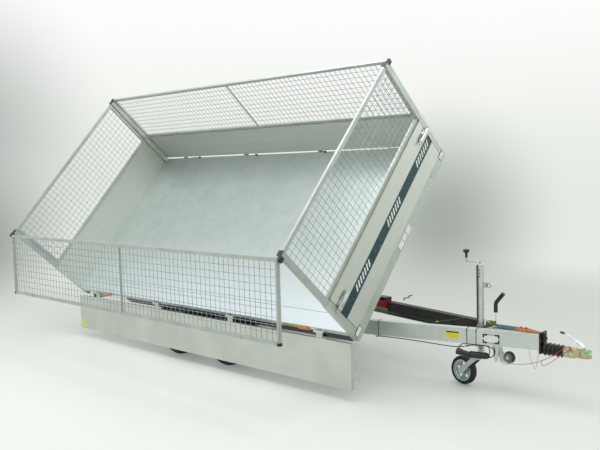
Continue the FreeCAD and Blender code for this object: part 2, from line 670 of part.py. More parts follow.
def lead_clip():
    """Clip under the right beam that the lead comes out of."""
    start, ahead = lead_route()[:2]
    way = V(ahead.x - start.x, ahead.y - start.y, 0).normalize()
    rear = start - way * 26
    top = GROUND + DRAW_BOTTOM
    side = V(-way.y, way.x, 0) * 9
    foot = [V(p.x, p.y, start.z - LEAD) for p in (rear - side, start - side, start + side, rear + side)]
    return Part.Face(Part.makePolygon(foot + foot[:1])).extrude(V(0, 0, top - start.z + LEAD))


def lead_plug():
    """Seven-pin plug with its strain relief, turned about the lead's end."""
    before, end = lead_route()[-2:]
    way = (end - before).normalize()
    points = [V(x, 0, r) for x, r in PLUG]
    plug = revolve([V(0, 0, 0)] + points + [V(PLUG[-1][0], 0, 0)], V(0, 0, 0), X_AXIS)
    plug.Placement = FreeCAD.Placement(end, FreeCAD.Rotation(X_AXIS, way))
    return plug


def breakaway_clip():
    """Ferrule on the cable's end with the ring that closes round its other strand."""
    route = [V(*point) for point in BREAKAWAY_ROUTE]
    end, way = route[-1], (route[-1] - route[-2]).normalize()
    held, along = route[HELD_POINT], (route[HELD_POINT + 1] - route[HELD_POINT - 1]).normalize()
    ring = bar(7.5, held - along * 2, held + along * 2).cut(bar(4.5, held - along * 3, held + along * 3))
    return fuse(bar(3, end, end + way * 9), ring)


def along_beam(x0, x1, outline):
    """Solid along the left beam between two stations, from (across, height) pairs."""
    ends = [Part.makePolygon([beam_point(x, *pair) for pair in outline + outline[:1]]) for x in (x0, x1)]
    return Part.makeLoft(ends, True, True)


def hose_cover():
    """Sheet that closes the left beam's open side over the hoses and laps its top flange."""
    inner, outer = -DRAW_WIDTH / 2, DRAW_WIDTH / 2
    foot, top = GROUND + DRAW_BOTTOM + COVER_FOOT, GROUND + RAIL_BOTTOM
    outline = [(inner - COVER_SHEET, foot), (inner, foot), (inner, top), (outer, top), (outer, top + COVER_SHEET),
               (inner - COVER_SHEET, top + COVER_SHEET)]
    return along_beam(COVER_REAR, COVER_FRONT, outline)


def isolator():
    """Battery switch behind the hose cover: body beside the beam, terminal block over its top flange."""
    length, depth, across = ISOLATOR
    inner = -DRAW_WIDTH / 2
    foot, split, beam_top, top = [GROUND + z for z in (ISOLATOR_FOOT, ISOLATOR_SPLIT, RAIL_BOTTOM, ISOLATOR_TOP)]
    rear, front = COVER_REAR - length, COVER_REAR - 2
    body = [(inner - depth, foot + 8), (inner - depth + 8, foot), (inner, foot), (inner, beam_top),
            (inner + 20, beam_top), (inner + 20, split), (inner - depth, split)]
    block = [(inner - depth + 6, split), (inner + 20, split), (inner + 20, beam_top), (inner + across, beam_top),
             (inner + across, top), (inner - depth + 6, top)]
    return along_beam(rear, front, body), along_beam(rear + 30, front, block)


def drawbar_head():
    return tube_x(HEAD_REAR, HEAD_FRONT, -HEAD_HALF, HEAD_HALF, GROUND + HEAD_LOW, GROUND + HEAD_TOP, 5)


def axle(wheel_x):
    """Square axle tube, seats under the rails, trailing arms and stub shafts."""
    x = wheel_x + AXLE_LEAD
    z = GROUND + AXLE_HEIGHT
    half = AXLE_SIZE / 2
    reach = RAIL_HALF_TRACK + RAIL_WIDTH / 2
    pieces = [box(x - half, x + half, -reach, reach, z - half, z + half)]
    for side in SIDES:
        y0, y1 = sorted((side * (reach - RAIL_WIDTH), side * reach))
        pieces.append(box(x - 70, x + 70, y0, y1, z + half, GROUND + RAIL_BOTTOM))
        a0, a1 = sorted((side * (reach + 2), side * (reach + 32)))
        hub_z = GROUND + TYRE_RADIUS
        outline = [V(x + half, a0, z + half), V(x + half, a0, z - half), V(wheel_x - 35, a0, hub_z - 35),
                   V(wheel_x - 35, a0, hub_z + 35)]
        arm = Part.Face(Part.makePolygon(outline + outline[:1])).extrude(V(0, a1 - a0, 0))
        pieces += [arm, box(x - 30, x + 30, *sorted((side * reach, side * (reach + 2))), z - 30, z + 30)]
        stub_end = side * (TYRE_OUTER - 95)
        pieces.append(bar(STUB / 2, V(wheel_x, side * (reach + 30), hub_z), V(wheel_x, stub_end, hub_z)))
    return fuse(*pieces)


def tyre(wheel_x, side):
    """Tyre drawn at the left, then mirrored for the right."""
    mid = TYRE_OUTER - TYRE_WIDTH / 2
    half = TYRE_WIDTH / 2
    profile = (             # radius, half width
        (RIM_RADIUS + 1, half - 14), (RIM_RADIUS + 44, half), (TYRE_RADIUS - 24, half), (TYRE_RADIUS, half - 24),
    )
    points = [V(wheel_x, mid + w, GROUND + TYRE_RADIUS + r) for r, w in profile]
    points += [V(wheel_x, mid - w, GROUND + TYRE_RADIUS + r) for r, w in reversed(profile)]
    shape = revolve(points, V(wheel_x, 0, GROUND + TYRE_RADIUS), Y_AXIS)
    return shape if side > 0 else mirror_y(shape)


def rim(wheel_x, side):
    """Steel wheel: drop-centre well, dished disc with hand holes, and the hub and drum behind it."""
    mid = TYRE_OUTER - TYRE_WIDTH / 2
    half = TYRE_WIDTH / 2 - 14
    z = GROUND + TYRE_RADIUS
    r = RIM_RADIUS + 0.5
    bore = STUB / 2 + PIN_CLEAR
    drum, drum_face = 115.0, mid + 6
    reach = RAIL_HALF_TRACK + RAIL_WIDTH / 2
    profile = (             # radius, y
        (r, mid - half), (r, mid + half), (r - 10, mid + half), (r - 10, mid + 38), (HUB_RADIUS + 28, mid + 52),
        (HUB_RADIUS - 20, mid + 36), (HUB_RADIUS - 28, mid + 72), (bore, mid + 72), (bore, reach + 40),
        (drum, reach + 40), (drum, drum_face), (HUB_RADIUS, mid + 26), (HUB_RADIUS + 28, mid + 42),
        (r - 14, mid + 28), (r - 10, mid - half),
    )
    shape = revolve([V(wheel_x, y, z + radius) for radius, y in profile], V(wheel_x, 0, z), Y_AXIS)
    middle = (HUB_RADIUS + 28 + r - 10) / 2
    for i in range(HAND_HOLES):
        turn = 2 * math.pi * i / HAND_HOLES
        cx, cz = wheel_x + middle * math.cos(turn), z + middle * math.sin(turn)
        shape = shape.cut(bar(14, V(cx, mid + 20, cz), V(cx, mid + 60, cz)))
    return shape if side > 0 else mirror_y(shape)


def rear_lamp_bar():
    x = BED_REAR + 30
    reach = HALF - LAMP_INSET + 10
    y0, y1 = RAIL_HALF_TRACK - 25, RAIL_HALF_TRACK + 25
    stand = BED_REAR + STAND_X[0] - CROSS_HALF
    return fuse(tube_y(x, x + 40, -reach, reach, GROUND + 380, GROUND + 440, 3),
                *both_sides(box(x + 40, stand, y0, y1, GROUND + 400, GROUND + 440)),
                *both_sides(box(stand - 10, stand, y0, y1, GROUND + 400, GROUND + RAIL_TOP)))


def rear_lamps():
    x = BED_REAR + 30
    outer = HALF - LAMP_INSET
    return both_sides(box(x - 25, x, outer - LAMP_LENGTH, outer, GROUND + 365, GROUND + 455))


def pack_cradle():
    """Two cross-bars on the drawbar's lower flanges, under the power pack."""
    low = GROUND + DRAW_BOTTOM + DRAW_WALL
    bars = []
    for x in PACK_BARS:
        reach = (DRAW_APEX - x - 40) * DRAW_SLOPE
        bars.append(box(x, x + 40, -reach, reach, low, low + 40).cut(brake_rod(PIN_CLEAR)))
    return bars


def power_pack():
    low = GROUND + DRAW_BOTTOM + DRAW_WALL + 40
    return box(PACK_BARS[0] - 20, PACK_BARS[1] + 60, -190, 190, low, GROUND + RAIL_TOP)


def brake_rod(clearance=0.0):
    """Rod from the overrun flange to the front axle."""
    radius, beside, height = BRAKE_ROD
    y = -(MAST_OUTER / 2 + beside)
    rear = BED_REAR + WHEEL_MID + WHEEL_SPACING / 2 + AXLE_LEAD + AXLE_SIZE / 2
    return bar(radius + clearance, V(rear, y, GROUND + height), V(HEAD_REAR, y, GROUND + height))


# ---------------------------------------------------------------- coupling
def overrun_flange():
    """Front plate of the overrun device with its stiffening rib, and the housing that lies on the head box."""
    front, seat = HEAD_FRONT, GROUND + HEAD_TOP
    plate = box(front, front + FLANGE_SHEET, -50, 50, GROUND + 340, GROUND + 488)
    housing = fuse(bar(HOUSING_RADIUS, V(HOUSING_REAR, 0, seat - 4), V(HOUSING_TAPER, 0, seat - 4)),
                   Part.makeCone(HOUSING_RADIUS, 15, front - HOUSING_TAPER, V(HOUSING_TAPER, 0, seat - 4), X_AXIS))
    housing = housing.cut(box(HOUSING_REAR - 1, front, -50, 50, seat - 60, seat))
    bosses = [bar(8, V(x, -10, seat + 10), V(x, -10, seat + 34)) for x in (front - 150, front - 112)]
    rib = box(front + FLANGE_SHEET, front + FLANGE_SHEET + 26, -30, -24, GROUND + 425, GROUND + 488)
    return fuse(plate, housing, rib, *bosses)


def bellows():
    """Rubber gaiter of five folds round the overrun shaft."""
    x0, x1 = HEAD_FRONT + FLANGE_SHEET, BELLOWS_END
    folds = 5
    pitch = (x1 - x0) / folds
    valley, crest = BELLOWS_RADII
    points = [V(x0, 0, SHAFT_HEIGHT), V(x0, 0, SHAFT_HEIGHT + valley)]
    for i in range(folds):
        points += [V(x0 + (i + 0.5) * pitch, 0, SHAFT_HEIGHT + crest - i),
                   V(x0 + (i + 1) * pitch, 0, SHAFT_HEIGHT + valley - i)]
    points.append(V(x1, 0, SHAFT_HEIGHT))
    return revolve(points, V(0, 0, SHAFT_HEIGHT), X_AXIS)


def coupling_head():
    """Pressed head: a side profile and a plan outline crossed, with the ball's socket open below."""
    r = BALL_SOCKET + COUPLING_WALL
    rear, neck, low = BELLOWS_END, 30.0, -14.0
    profile = ((rear, -24), (-70, -24), (-40, low), (COUPLING_NOSE, low), (COUPLING_NOSE, 8), (24, r), (-30, r),
               (-70, SHAFT_HEIGHT + neck), (rear, SHAFT_HEIGHT + neck))
    side = [V(x, -100, z) for x, z in profile]
    pressed = Part.Face(Part.makePolygon(side + side[:1])).extrude(V(0, 200, 0))
    plan = fuse(box(rear, -60, -neck, neck, -100, 100), bar(COUPLING_NOSE, V(0, 0, -100), V(0, 0, 100)),
                wedge_x(-80, -25, neck, COUPLING_NOSE - 4, -100, 100))
    head = pressed.common(plan)
    pad = box(-55, -5, -18, 18, r - 10, HANDLE_SEAT)
    socket = fuse(bar(BALL_SOCKET, V(0, 0, low - 1), V(0, 0, 10)),
                  Part.makeCone(BALL_SOCKET, 14.5, 15.0, V(0, 0, 10), Z_AXIS))
    hollow = box(rear + 20, -45, -neck + 5, neck - 5, -30, SHAFT_HEIGHT + neck - 5)
    x, z, radius = BREAKAWAY_PIN
    lug = fuse(box(x - 12, x + 12, -neck - 6, -neck, 0, z + 12), bar(radius, V(x, -neck, z), V(x, -neck - 26, z)))
    return fuse(head, pad, lug).cut(socket).cut(hollow)


def wedge_x(x0, x1, half0, half1, z0, z1):
    """Upright block whose half width changes along X."""
    corners = [V(x0, -half0, z0), V(x1, -half1, z0), V(x1, half1, z0), V(x0, half0, z0)]
    return Part.Face(Part.makePolygon(corners + corners[:1])).extrude(V(0, 0, z1 - z0))


def coupling_handle():
    """Lever that rises to the rear from its foot on the head, with a turned-up end."""
    seat = HANDLE_SEAT
    outline = ((-8, 0), (-8, 14), (-30, 34), (-60, 50), (-150, 94), (-168, 99), (-172, 90), (-152, 84), (-64, 38),
               (-50, 26), (-50, 0))
    points = [V(x, -11, seat + z) for x, z in outline]
    lever = Part.Face(Part.makePolygon(points + points[:1])).extrude(V(0, 22, 0))
    return lever


def handbrake():
    """Toothed sector, lever with a bent grip, link along the sector, and the stop beside the housing."""
    x, y = BRAKE_LEVER
    seat = GROUND + HEAD_TOP
    pivot = V(x, y, GROUND + BRAKE_PIVOT)
    foot, grip, bend = [V(x, y + 5, GROUND + z) for z in (HEAD_TOP, BRAKE_GRIP, BRAKE_BEND)]
    lever = fuse(bar(5, foot, bend), bar(13, grip, bend),
                 bar(13, bend, V(x + BRAKE_LEAN, y + 5, GROUND + BRAKE_TIP)))
    sector = bar(SECTOR_RADIUS, pivot - V(0, 6, 0), pivot - V(0, 2, 0))
    sector = sector.common(box(x - SECTOR_RADIUS, x + 6, y - 10, y, seat, GROUND + SECTOR_TOP))
    for i in range(SECTOR_TEETH):
        turn = math.radians(153 + i * 3.6)
        tooth = pivot + V(SECTOR_RADIUS * math.cos(turn), 0, SECTOR_RADIUS * math.sin(turn))
        sector = sector.cut(bar(1.5, tooth - V(0, 8, 0), tooth))
    link = [V(a, y - 11, c) for a, c in ((x - 70, seat + 44), (x - 64, seat + 48), (x, seat + 4), (x, seat),
                                         (x - 8, seat))]
    stop = [V(a, -HEAD_HALF + 4, c) for a, c in ((x + 8, seat), (x + 52, seat), (x + 16, seat + 18),
                                                 (x + 8, seat + 18))]
    link, stop = [Part.Face(Part.makePolygon(flat + flat[:1])).extrude(V(0, 5, 0)) for flat in (link, stop)]
    return sector, lever, link, stop


# ---------------------------------------------------------------- jockey wheel
def jockey_clamp():
    """Split ring round the mast, on a block that reaches the left beam's flanges."""
    r = MAST_OUTER / 2 + 0.3
    low, high = GROUND + DRAW_BOTTOM, GROUND + RAIL_BOTTOM
    inner = [(DRAW_APEX - x) * DRAW_SLOPE - DRAW_WIDTH / 2 / math.cos(math.atan(DRAW_SLOPE))
             for x in (MAST_X - 20, MAST_X + 20)]
    ring = bar(r + 6, V(MAST_X, 0, low), V(MAST_X, 0, high))
    corners = [V(MAST_X - 20, 0, low), V(MAST_X + 20, 0, low), V(MAST_X + 20, inner[1], low),
               V(MAST_X - 20, inner[0], low)]
    block = Part.Face(Part.makePolygon(corners + corners[:1])).extrude(V(0, 0, high - low))
    return fuse(ring, block).cut(bar(r, V(MAST_X, 0, low), V(MAST_X, 0, high)))


def support_leg():
    """Bracket under the right beam with the hub of the brake linkage and the eye of the breakaway cable."""
    top = GROUND + DRAW_BOTTOM
    x, y = LEG
    outline = ((-18, 0), (40, 0), (74, -112), (62, -128), (36, -122), (28, -104))
    points = [V(x + dx, y, top + dz) for dx, dz in outline]
    leg = Part.Face(Part.makePolygon(points + points[:1])).extrude(V(0, 5, 0))
    hub = V(x + 90, y + 2, top - 83)
    start = V(*BREAKAWAY_ROUTE[0])
    eye = fuse(bar(3, V(x + 60, y + 2, start.z), V(start.x - 6, y + 2, start.z)), bar(6, start - V(12, 0, 0), start))
    return fuse(leg, bar(9, V(x + 52, y + 2, top - 83), hub), bar(LEG_HUB, hub - V(0, 10, 0), hub + V(0, 14, 0)), eye)


def jockey_mast():
    """Outer tube with its cap, crank and knob, and the lug that the crank parks in."""
    low, high = GROUND + MAST_LOW, GROUND + MAST_TOP
    r = MAST_OUTER / 2
    tube = bar(r, V(MAST_X, 0, low), V(MAST_X, 0, high)).cut(
        bar(MAST_INNER / 2 + PIN_CLEAR, V(MAST_X, 0, low), V(MAST_X, 0, high - 60)))
    cap = bar(r + 4, V(MAST_X, 0, high - 10), V(MAST_X, 0, high))
    arm = high + 14
    throw = V(MAST_X - CRANK_THROW, 0, arm)
    crank = fuse(bar(9, V(MAST_X, 0, high), V(MAST_X, 0, arm + 8)), bar(6, V(MAST_X, 0, arm), throw),
                 bar(8, throw - V(0, 0, 8), throw + V(0, 0, 40)), bar(14, throw + V(0, 0, 32), throw + V(0, 0, 46)),
                 bar(26, throw + V(0, 0, 44), throw + V(0, 0, 88)))
    lug_x, lug_z = MAST_X + r + 42, high - 154
    lug = box(MAST_X, lug_x + 22, -3, 3, lug_z - 24, lug_z + 24)
    lug = lug.cut(bar(11, V(lug_x, -5, lug_z), V(lug_x, 5, lug_z)))
    lug = lug.cut(bar(r, V(MAST_X, 0, lug_z - 30), V(MAST_X, 0, lug_z + 30)))
    return fuse(tube, cap, crank, lug)


def jockey_tube():
    low, high = GROUND + FORK_TOP, GROUND + MAST_TOP - 260
    return bar(MAST_INNER / 2, V(MAST_X, 0, low), V(MAST_X, 0, high))


def swivelled(shape):
    turned = shape.copy()
    turned.rotate(V(MAST_X, 0, 0), Z_AXIS, JOCKEY_SWIVEL)
    return turned


def jockey_fork():
    """Swivelling fork of two curved blades that trails the wheel behind the mast."""
    top = GROUND + FORK_TOP - 0.5
    half = JOCKEY_WIDTH / 2 + PANEL_GAP
    x, z = MAST_X - JOCKEY_TRAIL, GROUND + JOCKEY_RADIUS
    outline = [V(MAST_X + 30, half, top), V(MAST_X - 34, half, top), V(x + 30, half, z + 52), V(x - 14, half, z + 24),
               V(x - 26, half, z - 4), V(x - 12, half, z - 24), V(x + 14, half, z - 22), V(x + 60, half, z + 30),
               V(MAST_X - 20, half, top - 34), V(MAST_X + 26, half, top - 22)]
    blade = Part.Face(Part.makePolygon(outline + outline[:1])).extrude(V(0, 5, 0))
    crown = box(MAST_X - 34, MAST_X + 30, -half - 5, half + 5, top - 8, top)
    shaft = bar(8, V(x, -half - 10, z), V(x, half + 10, z))
    return swivelled(fuse(crown, shaft, *both_sides(blade)))


def jockey_wheel():
    """Rubber tyre on a pressed disc with round windows."""
    x, z = MAST_X - JOCKEY_TRAIL, GROUND + JOCKEY_RADIUS
    half = JOCKEY_WIDTH / 2
    bore, hub, rim = 8.3, 22.0, 76.0
    profile = (             # radius, half width
        (bore, half), (hub, half), (hub, 5.0), (rim, 5.0), (rim, half - 6), (JOCKEY_RADIUS - 8, half - 3),
        (JOCKEY_RADIUS, half - 16),
    )
    points = [V(x, w, z + r) for r, w in profile] + [V(x, -w, z + r) for r, w in reversed(profile)]
    wheel = revolve(points, V(x, 0, z), Y_AXIS)
    middle = (hub + rim) / 2
    for i in range(JOCKEY_WINDOWS):
        turn = math.radians(90 + 360 * i / JOCKEY_WINDOWS)
        cx, cz = x + middle * math.cos(turn), z + middle * math.sin(turn)
        wheel = wheel.cut(bar(14, V(cx, -10, cz), V(cx, 10, cz)))
    return swivelled(wheel)


# ---------------------------------------------------------------- tipping cylinder
def lift_angle():
    """Lean of the barrel from upright, towards the right, with the bed tipped."""
    y, z = tipped_point(0.0, FLOOR - LIFT_SEAT_DROP)
    return math.degrees(math.atan2(-y, z - (GROUND + LIFT_PIVOT_HEIGHT)))


def lift_travel():
    y, z = tipped_point(0.0, FLOOR - LIFT_SEAT_DROP)
    pivot = GROUND + LIFT_PIVOT_HEIGHT
    return math.hypot(y, z - pivot) - (FLOOR - LIFT_SEAT_DROP - pivot)


def leaned(shape):
    turned = shape.copy()
    turned.rotate(V(0, 0, GROUND + LIFT_PIVOT_HEIGHT), X_AXIS, lift_angle())
    return turned


def cylinder_barrel():
    x, z = BED_REAR + LIFT_X, GROUND + LIFT_PIVOT_HEIGHT
    r = BARREL_DIA / 2
    bore = STAGES[0][0] / 2 + STAGE_CLEAR
    barrel = bar(r, V(x, 0, z - BARREL_BELOW), V(x, 0, z + BARREL_ABOVE)).cut(
        bar(bore, V(x, 0, z - BARREL_BELOW + 12), V(x, 0, z + BARREL_ABOVE)))
    pins = [bar(TRUNNION / 2, V(x + way * (r - 4), 0, z), V(x + way * (r + 30), 0, z)) for way in SIDES]
    return leaned(fuse(barrel, *pins))


def cylinder_stage(index):
    x, z = BED_REAR + LIFT_X, GROUND + LIFT_PIVOT_HEIGHT
    diameter, bore, shut_top = STAGES[index]
    low = z - BARREL_BELOW + 14 + 4 * index
    top = z + shut_top
    stage = bar(diameter / 2, V(x, 0, low), V(x, 0, top))
    if bore:
        stage = stage.cut(bar(bore / 2, V(x, 0, low + 3), V(x, 0, top)))
    else:
        ball, r = FLOOR - LIFT_SEAT_DROP, LIFT_BALL / 2
        turned = [V(x, 0, ball - r), V(x + 0.6 * r, 0, ball - 0.8 * r), V(x + r, 0, ball - 0.3 * r),
                  V(x + r, 0, ball + 0.3 * r), V(x + 0.6 * r, 0, ball + 0.8 * r), V(x, 0, ball + r)]
        stage = fuse(stage, bar(18, V(x, 0, top), V(x, 0, ball)), revolve(turned, V(x, 0, ball), Z_AXIS))
    stage.translate(V(0, 0, lift_travel() * (index + 1) / len(STAGES)))
    return leaned(stage)


def cylinder_gimbal():
    """Square ring between two cross-members, which the barrel's trunnions sit in."""
    x, z = BED_REAR + LIFT_X, GROUND + LIFT_PIVOT_HEIGHT
    ring = box(x - 88, x + 88, -100, 100, z - 22, z + 22).cut(box(x - 66, x + 66, -78, 78, z - 22, z + 22))
    ring = ring.cut(bar(TRUNNION / 2 + PIN_CLEAR, V(x - 90, 0, z), V(x + 90, 0, z)))
    arms = [box(*sorted((x + way * 88, x + way * 100)), -100, 100, z - 22, z + 22).cut(
        bar(TRUNNION / 2 + PIN_CLEAR, V(x - 110, 0, z), V(x + 110, 0, z))) for way in SIDES]
    return fuse(ring, *arms)


# ---------------------------------------------------------------- build
def build_bed():
    save("bed_floor", tipped(bed_floor()))
    save("bed_frame", tipped(bed_frame()))
    save("corner_posts", *map(tipped, corner_posts()))
    save("front_mesh", tipped(front_mesh()))
    save("mesh_uprights", *map(tipped, mesh_uprights()))
    caps = both_sides(mesh_cap(BED_REAR, 1)) + both_sides(mesh_cap(BED_FRONT, -1))
    save("mesh_caps", *map(tipped, caps))
    hinges = side_hinges()
    save("side_hinges", *[tipped(s) for hinge in hinges for s in both_sides(hinge)])
    save("board_hinges", *map(tipped, rear_hinges() + front_pivots()))
    lamps = [box(BED_REAR + at - 55, BED_REAR + at + 55, HALF, HALF + 12, FLOOR - 44, FLOOR - 6)
             for at in SIDE_LAMPS]
    save("side_lamps", *[tipped(s) for lamp in lamps for s in both_sides(lamp)])


def build_panels():
    save("far_side", tipped(side_board()))
    near = swung(mirror_y(side_board()), -SIDE_HINGE_Y, SIDE_HINGE_Z, SIDE_OPEN)
    save("near_side", tipped(near))
    save("front_board", tipped(front_board()))
    save("rear_board", tipped(rear_board()))
    mesh = side_mesh()
    save("far_mesh", tipped(mesh))
    save("near_mesh", tipped(swung(mirror_y(mesh), -MESH_HINGE_Y, MESH_HINGE_Z, -TIP_ANGLE)))
    save("rear_mesh", tipped(rear_mesh()))


def build_chassis():
    save("chassis_rails", *chassis_rails())
    save("crossmembers", *crossmembers())
    save("pivot_stands", *pivot_stands())
    save("bump_stops", *bump_stops())
    save("drawbar_beam_left", drawbar_beam(1))
    save("drawbar_beam_right", drawbar_beam(-1))
    save("drawbar_head", drawbar_head())
    save("hose_cover", hose_cover())
    save("isolator", *isolator())
    save("support_leg", support_leg())
    save("overrun_flange", overrun_flange())
    save("bellows", bellows())
    save("coupling_head", coupling_head())
    save("coupling_handle", coupling_handle())
    save("handbrake", *handbrake())
    save("pack_cradle", *pack_cradle())
    save("power_pack", power_pack())
    save("brake_rod", brake_rod())
    save("rear_lamp_bar", rear_lamp_bar())
    save("rear_lamps", *rear_lamps())
    save("cylinder_gimbal", cylinder_gimbal())


def build_cords():
    save("lead_cable", cord(lead_route(), LEAD, "lead"))
    save("lead_plug", lead_plug())
    save("breakaway_cable", cord([V(*point) for point in BREAKAWAY_ROUTE], BREAKAWAY, "breakaway cable"))
    save("breakaway_clip", breakaway_clip())


def build_running_gear():
    for end, offset in (("front", 0.5), ("rear", -0.5)):
        wheel_x = BED_REAR + WHEEL_MID + offset * WHEEL_SPACING
        save(f"{end}_axle", axle(wheel_x))
        for name, side in (("right", -1), ("left", 1)):
            save(f"tyre_{end}_{name}", tyre(wheel_x, side))
            save(f"rim_{end}_{name}", rim(wheel_x, side))
    save("jockey_clamp", jockey_clamp())
    save("jockey_mast", jockey_mast())
    save("jockey_tube", jockey_tube())
    save("jockey_fork", jockey_fork())
    save("jockey_wheel", jockey_wheel())


def build_cylinder():
    save("cylinder_barrel", cylinder_barrel())
    for index in range(len(STAGES)):
        save(f"cylinder_stage_{index + 1}", cylinder_stage(index))


os.makedirs("parts", exist_ok=True)
build_bed()
build_panels()
build_chassis()
build_running_gear()
build_cords()
build_cylinder()
print("lean", round(lift_angle(), 4), "travel", round(lift_travel(), 3))
print("tip axis", round(TIP_Y, 3), round(TIP_Z, 3))
print("near side hinge", [round(v, 3) for v in tipped_point(-SIDE_HINGE_Y, SIDE_HINGE_Z)])
print("near mesh hinge", [round(v, 3) for v in tipped_point(-MESH_HINGE_Y, MESH_HINGE_Z)])
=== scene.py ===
# %% [markdown]
# # A side-tipping trailer with mesh panels
# A tandem-axle trailer stands on its jockey wheel with the bed tipped to its right and the low side open.
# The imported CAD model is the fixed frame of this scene. Pieces whose shape is right keep their CAD mesh and
# get a real finish; round wire, bolts, tread, labels and cables are made here and ride on the CAD bodies.
# Everything is in metres, with the origin at the centre of the coupling ball, +X forward and +Z up.

# %% Load the frame
import math

import bmesh
import bpy
from mathutils import Matrix, Vector


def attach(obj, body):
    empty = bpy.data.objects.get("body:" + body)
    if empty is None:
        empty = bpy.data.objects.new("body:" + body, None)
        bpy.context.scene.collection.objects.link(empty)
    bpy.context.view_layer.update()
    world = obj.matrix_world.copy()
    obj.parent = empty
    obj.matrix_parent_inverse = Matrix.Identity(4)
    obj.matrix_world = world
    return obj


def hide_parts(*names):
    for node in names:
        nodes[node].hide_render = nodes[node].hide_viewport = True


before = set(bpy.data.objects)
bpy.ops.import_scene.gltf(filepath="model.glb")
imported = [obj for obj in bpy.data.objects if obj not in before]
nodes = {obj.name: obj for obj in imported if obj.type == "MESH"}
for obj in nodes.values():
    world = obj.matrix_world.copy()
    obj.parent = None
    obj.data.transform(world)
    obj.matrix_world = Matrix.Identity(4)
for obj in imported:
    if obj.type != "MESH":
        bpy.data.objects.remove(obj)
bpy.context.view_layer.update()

# %% [markdown]
# ## Sizes that the pieces share
# The bed is drawn level and then turned about its tipping axis, as the CAD does it. These are the few
# lengths that the added pieces need.

# %% Shared sizes
MM = 0.001
GROUND = -0.365
BED_FRONT, BED_REAR = -1.300, -4.900
HALF_WIDTH = 0.8775
FLOOR_Z = 0.347                    # load floor with the bed level
RIM_Z = FLOOR_Z + 0.349            # top of the boards
MESH_TOP_Z = RIM_Z + 0.570
TIP_ANGLE = math.radians(48)
TIP_POINT = Vector((0, -0.6275, 0.267))
UP, DOWN, FORE, AFT, SIDEWAYS = (0, 0, 1), (0, 0, -1), (1, 0, 0), (-1, 0, 0), (0, 1, 0)
print("bed", round(BED_FRONT - BED_REAR, 3), "m long and", 2 * HALF_WIDTH, "m wide")


def turned_x(point, degrees):
    """Turn about an axis along X through a point."""
    turn = Matrix.Rotation(math.radians(degrees), 4, "X")
    return Matrix.Translation(point) @ turn @ Matrix.Translation(-point)


def millimetres(points):
    """Vectors in metres from points in millimetres."""
    return [Vector(point) * MM for point in points]

# %% [markdown]
# ## Camera
# A long-ish normal lens looks at the front right corner from a little above the drawbar. Shift and depth of
# field stay off, so the other views can move this camera freely.

# %% Camera
CAMERA_PLACE, CAMERA_LENS = (1.942, -4.843, 1.313), 44.6
CAMERA_YAW, CAMERA_PITCH, CAMERA_ROLL = 0.7494, -0.0789, -0.0284
scene = bpy.context.scene


def new_object(name, data):
    """Object in the scene that shows a mesh, curve, lamp or camera."""
    made = bpy.data.objects.new(name, data)
    scene.collection.objects.link(made)
    return made


def camera_matrix(place, yaw, pitch, roll):
    """Camera that looks along +Y at yaw 0 and turns left as yaw grows."""
    forward = Vector((-math.sin(yaw) * math.cos(pitch), math.cos(yaw) * math.cos(pitch), math.sin(pitch)))
    right = Vector((math.cos(yaw), math.sin(yaw), 0))
    up = right.cross(forward)
    turned_right = math.cos(roll) * right + math.sin(roll) * up
    turned_up = -math.sin(roll) * right + math.cos(roll) * up
    axes = Matrix((turned_right, turned_up, -forward)).transposed().to_4x4()
    return Matrix.Translation(place) @ axes


camera_data = bpy.data.cameras.new("camera")
camera_data.sensor_width = 36
camera_data.lens = CAMERA_LENS
camera = new_object("camera", camera_data)
camera.matrix_world = camera_matrix(CAMERA_PLACE, CAMERA_YAW, CAMERA_PITCH, CAMERA_ROLL)
scene.camera = camera
print("camera at", [round(v, 3) for v in camera.location], "lens", camera_data.lens)

# %% [markdown]
# ## Helpers for materials
# Colours are written as sRGB hex, the way a paint card gives them, and one function turns them to the linear
# values that the shader wants. One more adds a node, sets its properties and fills or links its inputs, and
# gives back its outputs, so the next node can take one by its name or number.

# %% Colour and node helpers
def colour(hex_code):
    """sRGB hex to linear RGBA."""
    channels = [int(hex_code[i:i + 2], 16) / 255 for i in (0, 2, 4)]
    return (*[c / 12.92 if c <= 0.04045 else ((c + 0.055) / 1.055) ** 2.4 for c in channels], 1.0)


def add(tree, kind, inputs=None, ramp=None, **settings):
    """Adds one node and returns its outputs. settings are its properties, inputs maps a socket's name or
    number to a value, a link or a list of links, and ramp is a list of (place, hex colour)."""
    node = tree.nodes.new(kind)
    for name, value in settings.items():
        setattr(node, name, value)
    for key, value in (inputs or {}).items():
        links = value if isinstance(value, list) else [value]
        if not isinstance(links[0], bpy.types.NodeSocket):
            node.inputs[key].default_value = value
            continue
        for link in links:
            tree.links.new(link, node.inputs[key])
    for number, (place, hex_code) in enumerate(ramp or ()):
        elements = node.color_ramp.elements
        stop = elements[number] if number < len(elements) else elements.new(place)
        stop.position, stop.color = place, colour(hex_code)
    return node.outputs


def start_material(name):
    """An empty material: returns it and its tree."""
    material = bpy.data.materials.new(name)
    material.use_nodes = True
    material.node_tree.nodes.clear()
    return material, material.node_tree
